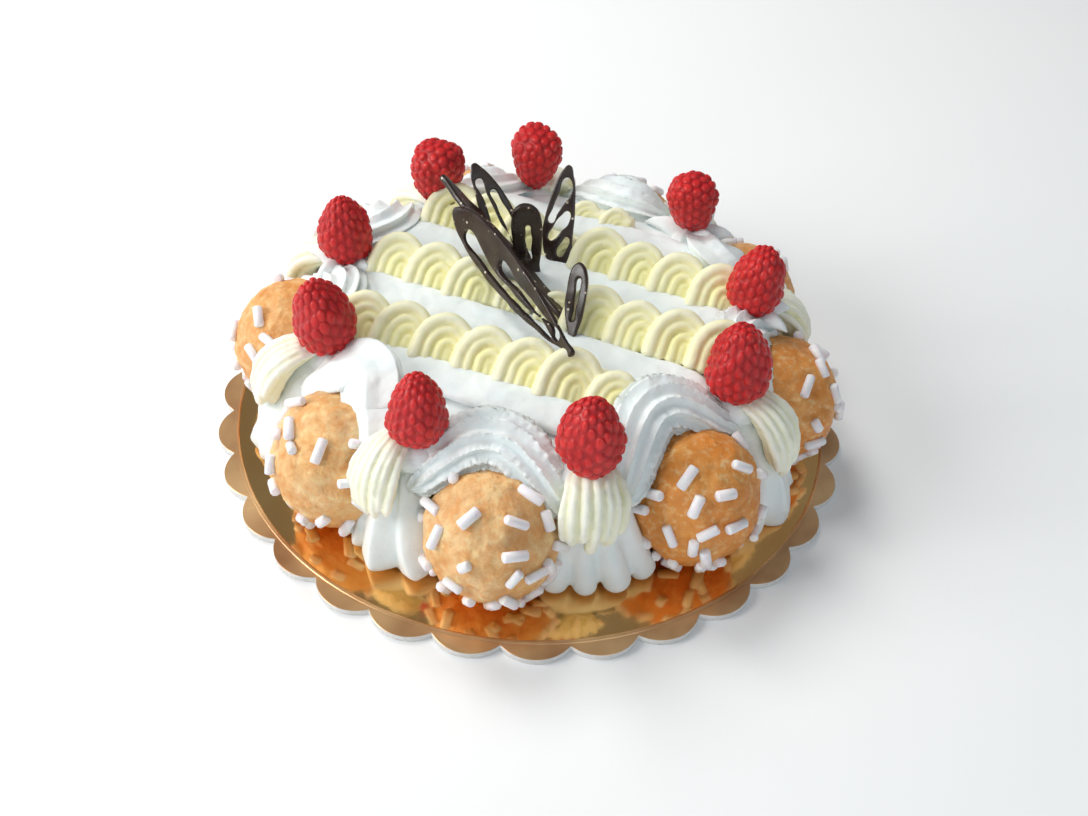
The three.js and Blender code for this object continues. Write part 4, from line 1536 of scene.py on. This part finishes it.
LEAVES = [
    Leaf(
        (12, -35.9, 59.1), (-29.5, 26, 67), (-0.79, -0.58, 0.2),
        blade((0, 0), (0.08, 2.2), (0.25, 5.6), (0.5, 8.2), (0.72, 8.5), (0.88, 6.4), (0.97, 3), (1, 0)),
        [
            [(-1.2, 0.14), (-2.4, 0.35), (-2.6, 0.62), (-3.0, 0.88), (-5.6, 0.74), (-5.9, 0.5), (-3.6, 0.26)],
            [(0.4, 0.1), (1.6, 0.24), (1.9, 0.42), (1.0, 0.6), (-0.4, 0.42), (-0.2, 0.24)],
        ],
    ),
    Leaf(
        (11, -7, 48.6), (-35, 39.5, 71.5), (0.55, 0.15, 0.83),
        blade((0, 0), (0.2, 3), (0.5, 4.4), (0.8, 3.4), (0.95, 1.3), (1, 0)),
        [],
    ),
    Leaf(
        (-4.5, 21, 47.4), (-24.5, 43, 75), (0.1, -0.7, 0.7),
        blade((0, 1.8), (0.2, 4.4), (0.4, 5.6), (0.6, 5.3), (0.8, 3.8), (0.94, 2), (1, 0)),
        [
            [(-1.0, 0.2), (-0.7, 0.45), (-0.3, 0.72), (-0.7, 0.9), (-2.4, 0.68), (-3.6, 0.42), (-2.6, 0.24)],
            [(1.2, 0.18), (2.5, 0.26), (3.6, 0.42), (3.1, 0.6), (1.7, 0.76), (0.9, 0.6), (0.7, 0.4)],
        ],
        openness=0.92,
    ),
    Leaf(
        (6, 23, 47.4), (5.3, 43, 76.5), (-0.15, -0.7, 0.7),
        [
            (1.5, 0), (4.2, 0.06), (5.6, 0.3), (6.0, 0.6), (5.4, 0.88), (3.6, 1.0), (1.4, 0.95), (-1.6, 0.77),
            (-4.4, 0.52), (-5.4, 0.3), (-3.4, 0.08), (-0.5, 0),
        ],
        [
            [
                (3.9, 0.88), (4.1, 0.70), (2.2, 0.63), (-0.4, 0.52), (-2.8, 0.42), (-1.8, 0.57), (0.4, 0.74),
                (2.4, 0.89),
            ],
            [(4.0, 0.56), (3.9, 0.44), (1.6, 0.36), (-0.8, 0.27), (-2.9, 0.26), (-1.2, 0.41), (1.4, 0.51)],
            [(3.7, 0.31), (3.2, 0.16), (1.0, 0.1), (0.0, 0.15), (1.8, 0.26)],
        ],
        openness=0.92,
    ),
    Leaf(
        (-3, 17, 47.4), (-5.4, 19.6, 75.5), (0, -1, 0.1),
        blade((0, 3), (0.2, 3.9), (0.5, 4.8), (0.8, 4.9), (0.94, 3.4), (1, 0)),
        [[(0.2, 0.24), (1.2, 0.42), (1.4, 0.62), (0.4, 0.74), (-0.6, 0.6), (-0.4, 0.38)]],
    ),
    Leaf(
        (12, -16, 49), (13.5, 2, 66), (-0.4, -0.8, 0.3),
        blade((0, 0.8), (0.12, 1.8), (0.35, 3.2), (0.65, 3.75), (0.88, 2.7), (0.97, 1.3), (1, 0)),
        [[(-0.3, 0.22), (0.5, 0.4), (0.9, 0.62), (0.5, 0.8), (-0.3, 0.6), (-0.6, 0.38)]],
    ),
]


def add_loop(curve, points, length):
    """A closed loop of smooth Bezier points; each is (across in mm, share of the leaf's length)."""
    spline = curve.splines.new("BEZIER")
    spline.use_cyclic_u = True
    spline.bezier_points.add(len(points) - 1)
    for spot, (across, share) in zip(spline.bezier_points, points):
        spot.co = (across * MM, share * length, 0)
        spot.handle_left_type = "AUTO"
        spot.handle_right_type = "AUTO"


def make_leaf(leaf):
    curve = bpy.data.curves.new("leaf", "CURVE")
    curve.dimensions = "2D"
    curve.fill_mode = "BOTH"
    curve.extrude = LEAF_THICKNESS / 2
    curve.resolution_u = 10
    for loop in leaf.loops:
        add_loop(curve, loop, leaf.length)
    only(put_in_scene("leaf", curve))
    bpy.ops.object.convert(target="MESH")
    piece = bpy.context.object
    turn_faces_out(piece)
    fuse(piece, LEAF_VOXEL, rounds=3)
    place_mesh(piece, leaf.placing())
    ruffle(piece, LEAF_WAVES, 1.2 * MM)
    return piece


serve_all((make_leaf(leaf) for leaf in LEAVES), "dark", "chocolate_leaf", CHOCOLATE, "dark_chocolate")
